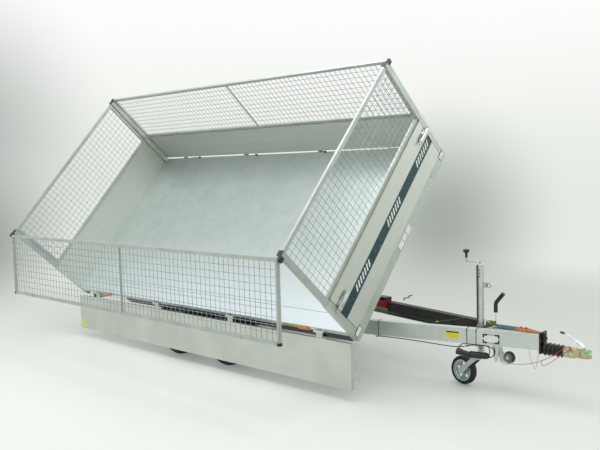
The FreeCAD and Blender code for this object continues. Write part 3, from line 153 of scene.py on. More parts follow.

# %% [markdown]
# ## Studio
# A white sweep in a studio has no edge: the floor runs into the wall. Here the floor is a disc that lets
# the world show through towards its rim, so it has no horizon. The world is paler above, and three soft grey
# patches of painted shade lie behind the trailer, where the backdrop would get less light. The camera and
# the reflections see that pale tone, while the light itself stays at a plain level: a grey card on the floor
# renders about as grey as it is.

# %% World
WALL_LOW, WALL_TOP, WALL_BETWEEN = "E6EBE4", "FFFFFD", {"From Min": -0.06, "From Max": 0.24}
# Painted shade: soft grey patches on the backdrop behind the trailer.
PAINTED_SHADES = (                         # aim as a turn to the right and upwards, radius, tone
    ((0.188, 0.008), 0.178, "A6ADA7"), ((-0.484, 0.128), 0.229, "AEB5B0"),
    ((-0.437, -0.026), 0.130, "9DA49E"),
)
PLAIN_LIGHT = {"Color": colour("F4F6F6"), "Strength": 0.55}


def camera_and_mirror_rays(tree):
    """1 for rays whose background shows: straight from the camera, mirrored or through glass."""
    rays = add(tree, "ShaderNodeLightPath")
    seen = {0: rays["Is Camera Ray"], 1: rays["Is Glossy Ray"]}
    seen_or_mirrored = add(tree, "ShaderNodeMath", seen, operation="MAXIMUM")[0]
    shows = {0: seen_or_mirrored, 1: rays["Is Transmission Ray"]}
    return add(tree, "ShaderNodeMath", shows, operation="MAXIMUM")[0]


world = bpy.data.worlds.new("studio")
scene.world = world
world.use_nodes = True
tree = world.node_tree
tree.nodes.clear()
direction = add(tree, "ShaderNodeTexCoord")["Generated"]
upward = {"Value": add(tree, "ShaderNodeSeparateXYZ", {0: direction})["Z"], **WALL_BETWEEN}
paler = add(tree, "ShaderNodeMapRange", upward, interpolation_type="SMOOTHSTEP")[0]
wall = add(tree, "ShaderNodeMix", {0: paler, 6: colour(WALL_LOW), 7: colour(WALL_TOP)}, data_type="RGBA")[2]
for (right, up), radius, shade_tone in PAINTED_SHADES:
    aim = (camera.matrix_world.to_3x3() @ Vector((right, up, -1))).normalized()
    away = add(tree, "ShaderNodeVectorMath", {0: direction, 1: aim}, operation="DISTANCE")["Value"]
    limits = {"Value": away, "From Min": 0.0, "From Max": radius, "To Min": 1.0, "To Max": 0.0}
    cloud = add(tree, "ShaderNodeMapRange", limits, interpolation_type="SMOOTHSTEP")[0]
    wall = add(tree, "ShaderNodeMix", {0: cloud, 6: wall, 7: colour(shade_tone)}, data_type="RGBA")[2]
light = add(tree, "ShaderNodeBackground", PLAIN_LIGHT)[0]
shown = add(tree, "ShaderNodeBackground", {"Color": wall, "Strength": 1.0})[0]
both = add(tree, "ShaderNodeMixShader", {0: camera_and_mirror_rays(tree), 1: light, 2: shown})[0]
add(tree, "ShaderNodeOutputWorld", {"Surface": both})
print("world with", len(PAINTED_SHADES), "soft clouds,", len(tree.nodes), "nodes")

# %% Floor
FLOOR_RADIUS, FADE_BETWEEN = 40.0, {"From Min": 2.6, "From Max": 7.0}
FLOOR_CENTRE = Vector((-2.45, 0.2, GROUND - 1 * MM))
FLOOR_PAINT = {"Base Color": colour("E6ECE4"), "Roughness": 0.45, "Specular IOR Level": 0.3}
# Painted shade: the floor's glow is darker on its far side, behind the trailer, and white on the near side.
GLOW_SHARE, GLOW_PAINTED_SHADE, GLOW_NEAR = 0.30, colour("A1A8A0"), colour("FFFFFF")
GLOW_BETWEEN = {"From Min": 2.6, "From Max": -3.7}       # from the far side to the near one, along Y
build = bmesh.new()
bmesh.ops.create_circle(build, cap_ends=True, segments=96, radius=FLOOR_RADIUS,
                        matrix=Matrix.Translation(FLOOR_CENTRE))
mesh = bpy.data.meshes.new("studio_floor")
build.to_mesh(mesh)
floor = new_object("studio_floor", mesh)
material, tree = start_material("studio_floor_paint")
place = add(tree, "ShaderNodeTexCoord")["Object"]
paint = add(tree, "ShaderNodeBsdfPrincipled", FLOOR_PAINT)[0]
nearer = {"Value": add(tree, "ShaderNodeSeparateXYZ", {0: place})["Y"], **GLOW_BETWEEN}
nearer = add(tree, "ShaderNodeMapRange", nearer, interpolation_type="SMOOTHSTEP")[0]
glow_tone = add(tree, "ShaderNodeMix", {0: nearer, 6: GLOW_PAINTED_SHADE, 7: GLOW_NEAR}, data_type="RGBA")[2]
glow = add(tree, "ShaderNodeEmission", {"Color": glow_tone, "Strength": 1.0})[0]
glowing = add(tree, "ShaderNodeMixShader", {0: GLOW_SHARE, 1: paint, 2: glow})[0]
clear = add(tree, "ShaderNodeBsdfTransparent")[0]
away = add(tree, "ShaderNodeVectorMath", {0: place, 1: FLOOR_CENTRE}, operation="DISTANCE")["Value"]
fade = add(tree, "ShaderNodeMapRange", {"Value": away, **FADE_BETWEEN}, interpolation_type="SMOOTHSTEP")[0]
pale = add(tree, "ShaderNodeMixShader", {0: fade, 1: glowing, 2: clear})[0]
surface = add(tree, "ShaderNodeMixShader", {0: camera_and_mirror_rays(tree), 1: paint, 2: pale})[0]
add(tree, "ShaderNodeOutputMaterial", {"Surface": surface})
mesh.materials.append(material)
print("floor at", round(FLOOR_CENTRE.z, 3), "m, radius", FLOOR_RADIUS)

# %% [markdown]
# ## Lamps
# Three big soft boxes: one above, a weaker one from the camera's left and one behind that draws the edges of
# the tubes. Large boxes give metal the long soft highlights of a product studio.

# %% Lamps
SOFT_BOXES = (                     # name, place, aims at, size, watts
    ("top_box", (-1.8, -1.0, 4.6), (-2.2, 0.0, 0.2), (5.6, 4.0), 190),
    ("left_box", (-5.5, -5.5, 3.0), (-2.6, 0.0, 0.4), (4.0, 3.0), 70),
    ("back_box", (1.5, 5.0, 3.4), (-2.0, 0.0, 0.4), (4.0, 3.0), 60),
)
for name, place, aim, (width, height), watts in SOFT_BOXES:
    data = bpy.data.lights.new(name, "AREA")
    data.shape, data.size, data.size_y, data.energy = "RECTANGLE", width, height, watts
    turn = (Vector(aim) - Vector(place)).to_track_quat("-Z", "Y")
    new_object(name, data).matrix_world = Matrix.Translation(place) @ turn.to_matrix().to_4x4()
scene.view_settings.view_transform = "Standard"
print(len(SOFT_BOXES), "soft boxes,", sum(box[-1] for box in SOFT_BOXES), "W together")

# %% [markdown]
# ## Finishes
# Each finish is named for what the real piece is made of. Patterns read Object coordinates, which are metres
# here, so a texture's scale is one over the size of one grain in metres.

# %% [markdown]
# **Hot-dip galvanised steel.** Steel dipped in molten zinc cools into flat crystals, the spangle, 11 to 16 mm
# across, each a slightly different grey and gloss. Cell noise gives one value per crystal; a slow noise
# adds the clouds of drained zinc.

# %% Hot-dip galvanised steel
# Painted light: the tipped floor is painted brighter towards its low edge, between these heights.
PAINTED_LIGHT_BETWEEN = {"From Min": 0.75, "From Max": 0.10}            # heights where the tipped floor gets brighter


def finish(tree, inputs, height, distance, strength):
    """Ends a material with a Principled shader and the bump of a height pattern."""
    bump = add(tree, "ShaderNodeBump", {"Height": height, "Distance": distance, "Strength": strength})[0]
    shader = add(tree, "ShaderNodeBsdfPrincipled", {**inputs, "Normal": bump})[0]
    add(tree, "ShaderNodeOutputMaterial", {"Surface": shader})


def galvanised(name, spangle, dark, light, rough=(0.40, 0.48), metallic=0.6, painted_light=None):
    """Zinc-coated steel with crystals of the given size in millimetres. painted_light is the brighter tone
    that is painted on its low part as painted light."""
    material, tree = start_material(name)
    place = add(tree, "ShaderNodeTexCoord")["Object"]
    cells = {"Vector": place, "Scale": 1 / (spangle * MM)}
    crystal = add(tree, "ShaderNodeTexVoronoi", cells)["Color"]
    crystal = add(tree, "ShaderNodeSeparateColor", {0: crystal})[0]
    cloud = add(tree, "ShaderNodeTexNoise", {"Vector": place, "Scale": 7.0, "Detail": 4.0})[0]
    shade = add(tree, "ShaderNodeMath", {0: crystal, 1: 0.14, 2: cloud}, operation="MULTIPLY_ADD")[0]
    tone = add(tree, "ShaderNodeValToRGB", {0: shade}, [(0.30, dark), (0.85, light)])[0]
    # Painted light: the low part is mixed towards a brighter tone.
    if painted_light:
        low_part = {"Value": add(tree, "ShaderNodeSeparateXYZ", {0: place})["Z"], **PAINTED_LIGHT_BETWEEN}
        low_part = add(tree, "ShaderNodeMapRange", low_part, interpolation_type="SMOOTHSTEP")[0]
        tone = add(tree, "ShaderNodeMix", {0: low_part, 6: tone, 7: colour(painted_light)}, data_type="RGBA")[2]
    gloss = add(tree, "ShaderNodeMapRange", {"Value": shade, "From Min": 0.30, "From Max": 0.85,
                                             "To Min": rough[1], "To Max": rough[0]})[0]
    finish(tree, {"Base Color": tone, "Metallic": metallic, "Roughness": gloss}, cloud, 0.3 * MM, 0.08)
    return material


galvanised_steel = galvanised("hot_dip_galvanised_steel", 11, "BCC4BE", "D2D8D2")
galvanised_band = galvanised("galvanised_folded_steel", 11, "AEB8B0", "C2CBC2", (0.44, 0.50), 0.5)
galvanised_wire = galvanised("galvanised_wire", 16, "7C8484", "9AA1A1", (0.38, 0.46), 0.7)
galvanised_tube = galvanised("galvanised_panel_tube", 12, "A4ABA7", "BCC2BD", (0.42, 0.50), 0.5)
# The floor sheet's last tone is painted light on its low part.
floor_sheet_zinc = galvanised("galvanised_floor_sheet", 14, "A9B4B1", "B7C2BF", (0.30, 0.36), 0.6, "D2DDE0")
print("nodes in a galvanised finish:", len(galvanised_steel.node_tree.nodes))

# %% [markdown]
# **Anodised aluminium.** The boards are extruded, so fine die lines run along them, and anodising leaves a
# matt, slightly warm grey. Noise that is squeezed across the board and stretched along it draws the lines.

# %% Anodised aluminium
DIE_LINE = 3 * MM                  # width of a die line where it shows


def drawn_metal(name, stretch, dark, light, rough, metallic):
    """Metal with fine lines along one way. stretch is the noise's scale along X, Y and Z."""
    material, tree = start_material(name)
    place = add(tree, "ShaderNodeTexCoord")["Object"]
    laid = add(tree, "ShaderNodeMapping", {"Vector": place, "Scale": stretch})[0]
    lines = add(tree, "ShaderNodeTexNoise", {"Vector": laid, "Scale": 1.0, "Detail": 4.0})[0]
    cloud = add(tree, "ShaderNodeTexNoise", {"Vector": place, "Scale": 2.5, "Detail": 2.0})[0]
    shade = add(tree, "ShaderNodeMath", {0: lines, 1: 0.6, 2: cloud}, operation="MULTIPLY_ADD")[0]
    tone = add(tree, "ShaderNodeValToRGB", {0: shade}, [(0.55, dark), (1.05, light)])[0]
    finish(tree, {"Base Color": tone, "Metallic": metallic, "Roughness": rough}, lines, 0.1 * MM, 0.2)
    return material


aluminium_along = drawn_metal(
    "anodised_aluminium", (1.2, 1 / DIE_LINE, 1 / DIE_LINE), "BCC0BA", "CDD1CA", 0.42, 0.6)
print("nodes in the aluminium:", len(aluminium_along.node_tree.nodes))

# %% [markdown]
# **Zinc plating and chrome.** Small steel parts such as hooks, hinges and nuts are plated: brighter and
# smoother than dipped steel, with no crystals. The cylinder's stages are chromed, which is smoother still.

# %% Zinc plating and chrome
def plated(name, dark, light, rough):
    material, tree = start_material(name)
    place = add(tree, "ShaderNodeTexCoord")["Object"]
    cloud = add(tree, "ShaderNodeTexNoise", {"Vector": place, "Scale": 45.0, "Detail": 3.0})[0]
    tone = add(tree, "ShaderNodeValToRGB", {0: cloud}, [(0.35, dark), (0.65, light)])[0]
    limits = {"To Min": rough - 0.08, "To Max": rough + 0.08}
    gloss = add(tree, "ShaderNodeMapRange", {"Value": cloud, **limits})[0]
    finish(tree, {"Base Color": tone, "Metallic": 0.9, "Roughness": gloss}, cloud, 0.1 * MM, 0.1)
    return material


zinc_plate = plated("zinc_plated_steel", "BDC3C4", "CFD4D5", 0.32)
chrome = plated("hard_chrome", "D6D9DC", "E6E9EB", 0.12)
print("made", zinc_plate.name, "and", chrome.name)

# %% [markdown]
# **Rubber, plastic and paint.** Rubber is nearly black, rough and dusty on its high spots; moulded plastic
# has a fine grain; sprayed enamel has a slight orange peel under a gloss.

# %% Rubber, plastic and paint
def dull(name, dark, light, rough, grain, height):
    """Non-metal with a cloudy tone and a grain of the given size and height in millimetres."""
    material, tree = start_material(name)
    place = add(tree, "ShaderNodeTexCoord")["Object"]
    cloud = add(tree, "ShaderNodeTexNoise", {"Vector": place, "Scale": 12.0, "Detail": 4.0})[0]
    speck = add(tree, "ShaderNodeTexNoise", {"Vector": place, "Scale": 1 / (grain * MM), "Detail": 2.0})[0]
    tone = add(tree, "ShaderNodeValToRGB", {0: cloud}, [(0.35, dark), (0.7, light)])[0]
    finish(tree, {"Base Color": tone, "Roughness": rough}, speck, height * MM, 0.5)
    return material


tyre_rubber = dull("tyre_rubber", "17181A", "2B2C2D", 0.72, 1.2, 0.2)
gaiter_rubber = dull("gaiter_rubber", "0D0E0F", "1A1B1C", 0.36, 1.5, 0.1)
black_plastic = dull("moulded_black_plastic", "141516", "212223", 0.42, 0.9, 0.08)
black_enamel = dull("black_enamel", "101214", "191C1E", 0.25, 3, 0.05)
# The hose cover is a dark cover, and its dark tone is also painted shade for the shaded inside of the far
# beam's channel.
channel_shade_enamel = dull("dark_grey_brown_enamel", "2A2927", "3B3936", 0.55, 3, 0.05)
teal_paint = dull("teal_enamel", "1F4E4C", "2E6A64", 0.35, 3, 0.05)
grey_paint = dull("dark_grey_enamel", "2C3234", "3A4143", 0.35, 3, 0.05)
red_sheath = dull("red_pvc_on_wire_rope", "9E1F1C", "C43A30", 0.4, 1.5, 0.1)
pvc_black = dull("pvc_cable_sheath", "141515", "202121", 0.45, 2, 0.05)
white_film = dull("white_vinyl_film", "E2E5E2", "F1F3F0", 0.4, 2, 0.02)
yellow_film = dull("yellow_vinyl_film", "E3D52A", "EFE23C", 0.4, 2, 0.02)
lime_film = dull("lime_vinyl_film", "8E9A2E", "B3B848", 0.4, 2, 0.02)
print("nodes in a rubber, plastic or paint:", len(tyre_rubber.node_tree.nodes))

# %% [markdown]
# ** Lamp lenses.** Moulded acrylic in amber and red: light enters, bounces in the prisms behind and comes
# back deeper in colour. Square cells, 6 mm apart, stand for the prisms, with a small painted glow for that
# light.

# %% Lamp lenses
def lens(name, dark, light):
    material, tree = start_material(name)
    cells = {"Vector": add(tree, "ShaderNodeTexCoord")["Object"], "Scale": 1 / (6 * MM)}
    prism = add(tree, "ShaderNodeTexVoronoi", cells, distance="CHEBYCHEV")["Distance"]
    tone = add(tree, "ShaderNodeValToRGB", {0: prism}, [(0.1, light), (0.6, dark)])[0]
    # Painted light: a faint emission in the prisms' tone.
    finish(tree, {"Base Color": tone, "Roughness": 0.2, "Coat Weight": 0.6, "Coat Roughness": 0.05,
                  "Emission Color": tone, "Emission Strength": 0.08}, prism, 0.5 * MM, 0.4)
    return material


amber_lens = lens("amber_acrylic_lens", "B65A10", "F09A2E")
red_lens = lens("red_acrylic_lens", "7E0F12", "CE2A22")
print("made", amber_lens.name, "and", red_lens.name)

# %% [markdown]
# ## Finishes on the CAD nodes
# The frame's nodes keep their shapes, so each only needs its finish. The table below gives the nodes of each
# one-material finish; a node that is not named is hot-dip galvanised, unless a later cell dresses it.

# %% Assign finishes
def dress(node, material):
    """Puts one material in all of a CAD node's slots."""
    data = nodes[node].data
    if not data.materials:
        data.materials.append(material)
    for number in range(len(data.materials)):
        data.materials[number] = material


DRESSED = (
    (floor_sheet_zinc, "bed_floor"), (galvanised_band, "bed_frame"), (galvanised_tube, "mesh_uprights"),
    (aluminium_along, "near_side corner_posts"), (amber_lens, "side_lamps"), (red_lens, "rear_lamps"),
    (gaiter_rubber, "bump_stops bellows"), (black_plastic, "mesh_caps power_pack lead_plug"),
    (zinc_plate, "side_hinges board_hinges brake_rod breakaway_clip jockey_fork jockey_tube jockey_clamp"),
    (channel_shade_enamel, "hose_cover"), (black_enamel, "cylinder_barrel cylinder_gimbal"),
    (chrome, "cylinder_stage_1 cylinder_stage_2 cylinder_stage_3"),
)
FINISH_OF = {node: material for material, names in DRESSED for node in names.split()}
for node in nodes:
    dress(node, tyre_rubber if "tyre" in node else FINISH_OF.get(node, galvanised_steel))
print(len(nodes), "CAD nodes dressed")

# %% [markdown]
# ## Frames of the tipped bed and its panels
# Whatever rides on the bed is drawn with the bed level and every panel shut, as on a drawing board, and one
# matrix for each body then carries it to its place. The low side hangs from its hinge and the mesh above it
# swings down from its own pins, so those two have a second turn.

# %% Where each body's pieces go
SIDE_HINGE = Vector((0, -(HALF_WIDTH + 17 * MM), FLOOR_Z - 31 * MM))
PANEL_Y = HALF_WIDTH + 17.5 * MM                   # middle of a side's mesh panel
MESH_HINGE = Vector((0, -PANEL_Y, MESH_TOP_Z - 12.5 * MM))
TIPPED = turned_x(TIP_POINT, math.degrees(TIP_ANGLE))
PLACES = {body: TIPPED for body in ("bed", "far_side", "far_mesh", "front_board", "rear_board", "rear_mesh")}
PLACES["near_side"] = TIPPED @ turned_x(SIDE_HINGE, 180 - math.degrees(TIP_ANGLE))
PLACES["near_mesh"] = TIPPED @ turned_x(MESH_HINGE, -math.degrees(TIP_ANGLE))
print(len(PLACES), "bodies are drawn level and then placed")

# %% [markdown]
# ## Helpers for shapes
# Three shapes make nearly every small part: a block with its edges rounded off, a round rod and a closed
# outline turned about an axis. Each adds to a bmesh, so one piece can hold many of them, and `piece` closes
# it.

# %% Shape helpers
SMOOTH_ANGLE = math.radians(35)


def placed_cube(build, place, rounding):
    """Unit cube under a matrix, with its edges rounded off."""
    made = bmesh.ops.create_cube(build, size=1.0, matrix=place)["verts"]
    if rounding:
        edges = list({edge for vertex in made for edge in vertex.link_edges})
        bmesh.ops.bevel(build, geom=edges, offset=rounding, segments=2, affect="EDGES")


def block(build, low, high, rounding=0.0):
    """Box between two corners with its edges rounded off."""
    low, high = Vector(low), Vector(high)
    placed_cube(build, Matrix.LocRotScale((low + high) / 2, None, high - low), rounding)


def rod(build, start, end, radius, sides, end_radius=None):
    """Round or many-sided rod between two points."""
    start, end = Vector(start), Vector(end)
    place = Matrix.LocRotScale((start + end) / 2, (end - start).to_track_quat("Z", "Y"), None)
    bmesh.ops.create_cone(build, cap_ends=True, segments=sides, radius1=radius,
                          radius2=radius if end_radius is None else end_radius,
                          depth=(end - start).length, matrix=place)


def pushed(build, outline, way):
    """Flat outline of 3-D points pushed along a vector."""
    face = build.faces.new([build.verts.new(point) for point in outline])
    made = bmesh.ops.extrude_face_region(build, geom=[face])["geom"]
    bmesh.ops.translate(build, vec=Vector(way), verts=[v for v in made if isinstance(v, bmesh.types.BMVert)])


def join_rings(build, rings):
    """Skin over closed rings of points, from each to the next and from the last to the first."""
    rings = [[build.verts.new(point) for point in ring] for ring in rings]
    for one, other in zip(rings, rings[1:] + rings[:1]):
        for k in range(len(one)):
            n = (k + 1) % len(one)
            build.faces.new((one[k], one[n], other[n], other[k]))


def lathe(build, profile, origin, axis, segments):
    """Closed profile of (radius, distance along the axis) pairs, in millimetres, turned about that axis."""
    turn = Matrix.Translation(origin) @ Vector(axis).to_track_quat("Z", "Y").to_matrix().to_4x4()
    angles = [2 * math.pi * i / segments for i in range(segments)]
    join_rings(build, [[turn @ (Vector((r * math.cos(angle), r * math.sin(angle), at)) * MM)
                        for r, at in profile] for angle in angles])


def evaluated_mesh(drawn):
    """Plain mesh of what an object shows."""
    bpy.context.view_layer.update()
    return bpy.data.meshes.new_from_object(drawn.evaluated_get(bpy.context.evaluated_depsgraph_get()))


def piece_from_mesh(name, mesh, material, body, replaces=()):
    """Puts a mesh that was drawn with the bed level on its body, and gives it its finish."""
    if body in PLACES:
        mesh.transform(PLACES[body])
    mesh.shade_smooth()
    mesh.set_sharp_from_angle(angle=SMOOTH_ANGLE)
    if material is not None:
        mesh.materials.clear()
        mesh.materials.append(material)
    made = new_object(name, mesh)
    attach(made, body)
    if replaces:
        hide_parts(*replaces)


def piece(name, build, material, body, replaces=()):
    """Closes a bmesh and makes a piece of it."""
    bmesh.ops.recalc_face_normals(build, faces=build.faces)
    mesh = bpy.data.meshes.new(name)
    build.to_mesh(mesh)
    build.free()
    piece_from_mesh(name, mesh, material, body, replaces)


def block_piece(name, low, high, rounding, material, body):
    """Piece that is one block. Its corners may be given either way round."""
    build = bmesh.new()
    block(build, [min(pair) for pair in zip(low, high)], [max(pair) for pair in zip(low, high)], rounding)
    piece(name, build, material, body, ())


def round_curve(name, points, radius, roundness, steps):
    """Curve object of one open NURBS spline of order 3 with a round section."""
    data = bpy.data.curves.new(name, "CURVE")
    data.dimensions = "3D"
    data.bevel_depth, data.bevel_resolution, data.use_fill_caps = radius, roundness, True
    spline = data.splines.new("NURBS")
    spline.points.add(len(points) - 1)
    for control, point in zip(spline.points, points):
        control.co = (*point, 1.0)
    spline.order_u, spline.use_endpoint_u, spline.resolution_u = 3, True, steps
    return new_object(name, data)


def wire(name, points, radius, material, body):
    """Bent wire along a few points, in millimetres."""
    drawn = round_curve(name, millimetres(points), radius * MM, 2, 6)
    mesh = evaluated_mesh(drawn)
    bpy.data.objects.remove(drawn)
    build = bmesh.new()
    build.from_mesh(mesh)
    bmesh.ops.remove_doubles(build, verts=build.verts, dist=0.02 * MM)
    piece(name, build, material, body)


# %% [markdown]
# ## Where things sit on the drawbar
# The two beams meet ahead of the coupling and spread to the rear. A point on the right beam is given by its
# x, its distance outwards from the beam's centre line and its height, so labels and ties need no angles.

# %% Points on the right beam
BEAM_SLOPE, BEAM_APEX = 0.235, -0.236


def on_beam(x, across, height):
    """Point on the right beam from millimetres."""
    angle = math.atan(BEAM_SLOPE)
    x, across = x * MM, across * MM
    out = (BEAM_APEX - x) * BEAM_SLOPE + across * math.cos(angle)
    return Vector((x + across * math.sin(angle), -out, height * MM))

# %% [markdown]
# ## Lead and breakaway cable
# Both cables are NURBS curves through the same routes as the CAD's. The seven-pin lead comes out of its clip
# under the right beam, is wound in two loose turns below the jockey wheel's clamp and ends in its plug. The
# red wire rope that pulls the brake on if the coupling fails starts at the clip's ring on the head box, runs
# through the spring wire under the drawbar and ends in its hook.

# %% Lead and breakaway cable
LEAD_ROUTE = (                     # x, across the beam, height, all in millimetres
    (-1480, 20, -8), (-1390, 20, -9), (-1295, 20, -12), (-1200, 20, -16), (-1110, 19, -22),
    (-1025, 14, -29), (-950, 6, -36), (-890, 0, -39), (-840, -2, -31), (-795, -2, -19), (-745, -1, -12),
    (-695, 0, -11), (-649, -1, -13), (-622, -5, -38), (-622, -11, -76), (-649, -16, -101), (-692, -18, -102),
    (-735, -19, -98), (-778, -18, -92), (-820, -19, -91), (-859, -18, -90), (-881, -18, -53),
    (-859, -18, -16), (-820, -17, -13), (-778, -17, -12.5), (-735, -16, -13), (-702, -15, -13.5),
    (-666, -11, -14), (-644, 2, -52), (-666, 16, -90), (-702, 24, -93), (-735, 28, -88), (-760, 29, -83),
)
BREAKAWAY_ROUTE = (                # x, y, height in millimetres
    (-512, -70, -122), (-470, -70, -119), (-420, -70, -112), (-369, -70, -100), (-318, -68, -84),
    (-276, -65, -65), (-235, -61, -43), (-195, -56, -17), (-160, -52, 12), (-130, -49, 38), (-108, -48, 55),
    (-87, -48, 58), (-78, -48, 42), (-92, -49, 28), (-118, -53, 14), (-143, -58, -8), (-172, -64, -34),
    (-208, -70, -64), (-238, -75, -86), (-258, -78, -95), (-271, -76, -90), (-276, -71.5, -78),
)


def cable(name, points, diameter, material, node):
    """Round cord on the chassis in place of the CAD's node."""
    made = round_curve(name, points, diameter / 2, 4, 10)
    made.data.materials.append(material)
    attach(made, "chassis")
    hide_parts(node)
    return made


lead_points = [on_beam(*point) for point in LEAD_ROUTE]
lead = cable("lead_cord", lead_points, 7 * MM, pvc_black, "lead_cable")
breakaway_points = millimetres(BREAKAWAY_ROUTE)
breakaway = cable("breakaway_cord", breakaway_points, 4 * MM, red_sheath, "breakaway_cable")
print("lead through", len(LEAD_ROUTE), "points, breakaway cable through", len(BREAKAWAY_ROUTE))

# %% [markdown]
# ## Welded mesh panels
# The mesh is 3.5 mm galvanised wire at 50 mm pitch: uprights on one side, long wires on the other, and a weld
# at every crossing, where the two wires have sunk a little into each other. One Geometry Nodes tree makes it
# for any opening. It has no random part, so it needs no seed.

# %% Helpers for Geometry Nodes trees
def start_tree(name, sockets):
    """New tree with the given inputs: returns it, what its inputs give and the sockets' identifiers."""
    tree = bpy.data.node_groups.new(name, "GeometryNodeTree")
    identifiers = {label: tree.interface.new_socket(name=label, in_out="INPUT", socket_type=kind).identifier
                   for label, kind in sockets.items()}
    tree.interface.new_socket(name="Mesh", in_out="OUTPUT", socket_type="NodeSocketGeometry")
    return tree, add(tree, "NodeGroupInput"), identifiers


def end_tree(tree, copies, material):
    """Makes the copies real, gives them their finish and ends the tree."""
    real = add(tree, "GeometryNodeRealizeInstances", {0: copies})[0]
    dressed = add(tree, "GeometryNodeSetMaterial", {0: real, "Material": material})[0]
    add(tree, "NodeGroupOutput", {0: dressed})


def grown_mesh(name, tree, identifiers, values, base=None):
    """Plain mesh of what a Geometry Nodes tree makes with the given values."""
    carrier = new_object(name, base or bpy.data.meshes.new(name))
    modifier = carrier.modifiers.new("grown", "NODES")
    modifier.node_group = tree
    for key, value in values.items():
        modifier[identifiers[key]] = value
    made = evaluated_mesh(carrier)
    carrier.modifiers.remove(modifier)
    bpy.data.objects.remove(carrier)
    return made

# %% Geometry Nodes tree for welded wire
LAYER_GAP, WELD_SIZE = 0.95, 1.25                  # half the gap of the layers, weld's radius, in wire radii


def build_wire_mesh_tree():
    """Wires and welds of one opening, with Length along X and Height along Z."""
    tree, given, identifiers = start_tree("welded_wire_mesh", {
        "Length": "NodeSocketFloat", "Height": "NodeSocketFloat", "Columns": "NodeSocketInt",
        "Rows": "NodeSocketInt", "Wire Radius": "NodeSocketFloat", "Finish": "NodeSocketMaterial"})

    def steps(axis, size, count):
        """Vector from one wire to the next along an axis."""
        spaces = add(tree, "ShaderNodeMath", {0: count, 1: 1.0}, operation="ADD")[0]
        step = add(tree, "ShaderNodeMath", {0: size, 1: spaces}, operation="DIVIDE")[0]
        return add(tree, "ShaderNodeCombineXYZ", {axis: step})[0]

    length, height, radius = given["Length"], given["Height"], given["Wire Radius"]
    columns, rows = given["Columns"], given["Rows"]
    right, up = steps("X", length, columns), steps("Z", height, rows)
    section = add(tree, "GeometryNodeCurvePrimitiveCircle", {"Resolution": 8, "Radius": radius})[0]
    layers = []
    for count, step, axis, size, side in ((columns, right, "Z", height, -LAYER_GAP),
                                          (rows, up, "X", length, LAYER_GAP)):
        end = add(tree, "ShaderNodeCombineXYZ", {axis: size})[0]
        line = add(tree, "GeometryNodeCurvePrimitiveLine", {"End": end})[0]
        one_wire = add(tree, "GeometryNodeCurveToMesh", {0: line, "Profile Curve": section})[0]
        beside = add(tree, "ShaderNodeMath", {0: radius, 1: side}, operation="MULTIPLY")[0]
        beside = add(tree, "ShaderNodeCombineXYZ", {"Y": beside})[0]
        start = add(tree, "ShaderNodeVectorMath", {0: step, 1: beside}, operation="ADD")[0]
        row = {"Count": count, "Start Location": start, "Offset": step}
        points = add(tree, "GeometryNodeMeshLine", row)[0]
        layers.append(add(tree, "GeometryNodeInstanceOnPoints", {"Points": points, "Instance": one_wire})[0])
    weld_radius = add(tree, "ShaderNodeMath", {0: radius, 1: WELD_SIZE}, operation="MULTIPLY")[0]
    welds = add(tree, "GeometryNodeMeshIcoSphere", {"Radius": weld_radius, "Subdivisions": 1})[0]
    for count, step in ((rows, up), (columns, right)):
        row = {"Count": count, "Start Location": step, "Offset": step}
        points = add(tree, "GeometryNodeMeshLine", row)[0]
        welds = add(tree, "GeometryNodeInstanceOnPoints", {"Points": points, "Instance": welds})[0]
    end_tree(tree, add(tree, "GeometryNodeJoinGeometry", {0: [*layers, welds]})[0], given["Finish"])
    return tree, identifiers


WIRE_TREE = build_wire_mesh_tree()
print("nodes in the wire mesh's tree:", len(WIRE_TREE[0].nodes))

# %% [markdown]
# ## Frames of the mesh panels
# Each panel's frame is square tube with its corners rolled to a small radius. The side panels have a flat bar
# in the middle that stiffens them and three flat tongues that hook over the board's rim below. The low
# panel's free corners have black plastic ends.

# %% Panels
WIRE_RADIUS, PITCH = 1.75 * MM, 50 * MM
RAIL, END_RAIL = 25 * MM, 30 * MM
FRAME_ROUNDING, SHEET_ROUNDING = 2.5 * MM, 0.8 * MM
MESH_LOW_Z = RIM_Z + 8 * MM
SIDE_X = (BED_REAR + RAIL, BED_FRONT - RAIL)
SIDE_HOOKS = (0.390, 1.800, 3.210)                 # from the bed's rear end
MIDDLE_BAR, TONGUE_HALF, TONGUE_HEIGHTS = (20 * MM, 8 * MM), 12 * MM, (-3 * MM, 20 * MM)
REAR_TONGUES_Y = 0.577
LATERAL = Matrix.Rotation(math.radians(90), 4, "Z")      # turns a mesh drawn along X to lie along Y


def frame_bars(build, along, low, high, widths):
    """Four rails round an opening. along is the axis number of the panel's length."""
    inner_low, inner_high = low.copy(), high.copy()
    for axis, (one, other) in widths.items():
        inner_low[axis] += one
        inner_high[axis] -= other
    for axis in widths:
        for start, end in ((low[axis], inner_low[axis]), (inner_high[axis], high[axis])):
            if end - start < 1 * MM:
                continue
            a, b = low.copy(), high.copy()
            if axis == along:
                a.z, b.z = inner_low.z, inner_high.z
            a[axis], b[axis] = start, end
            block(build, a, b, FRAME_ROUNDING)
    return inner_low, inner_high


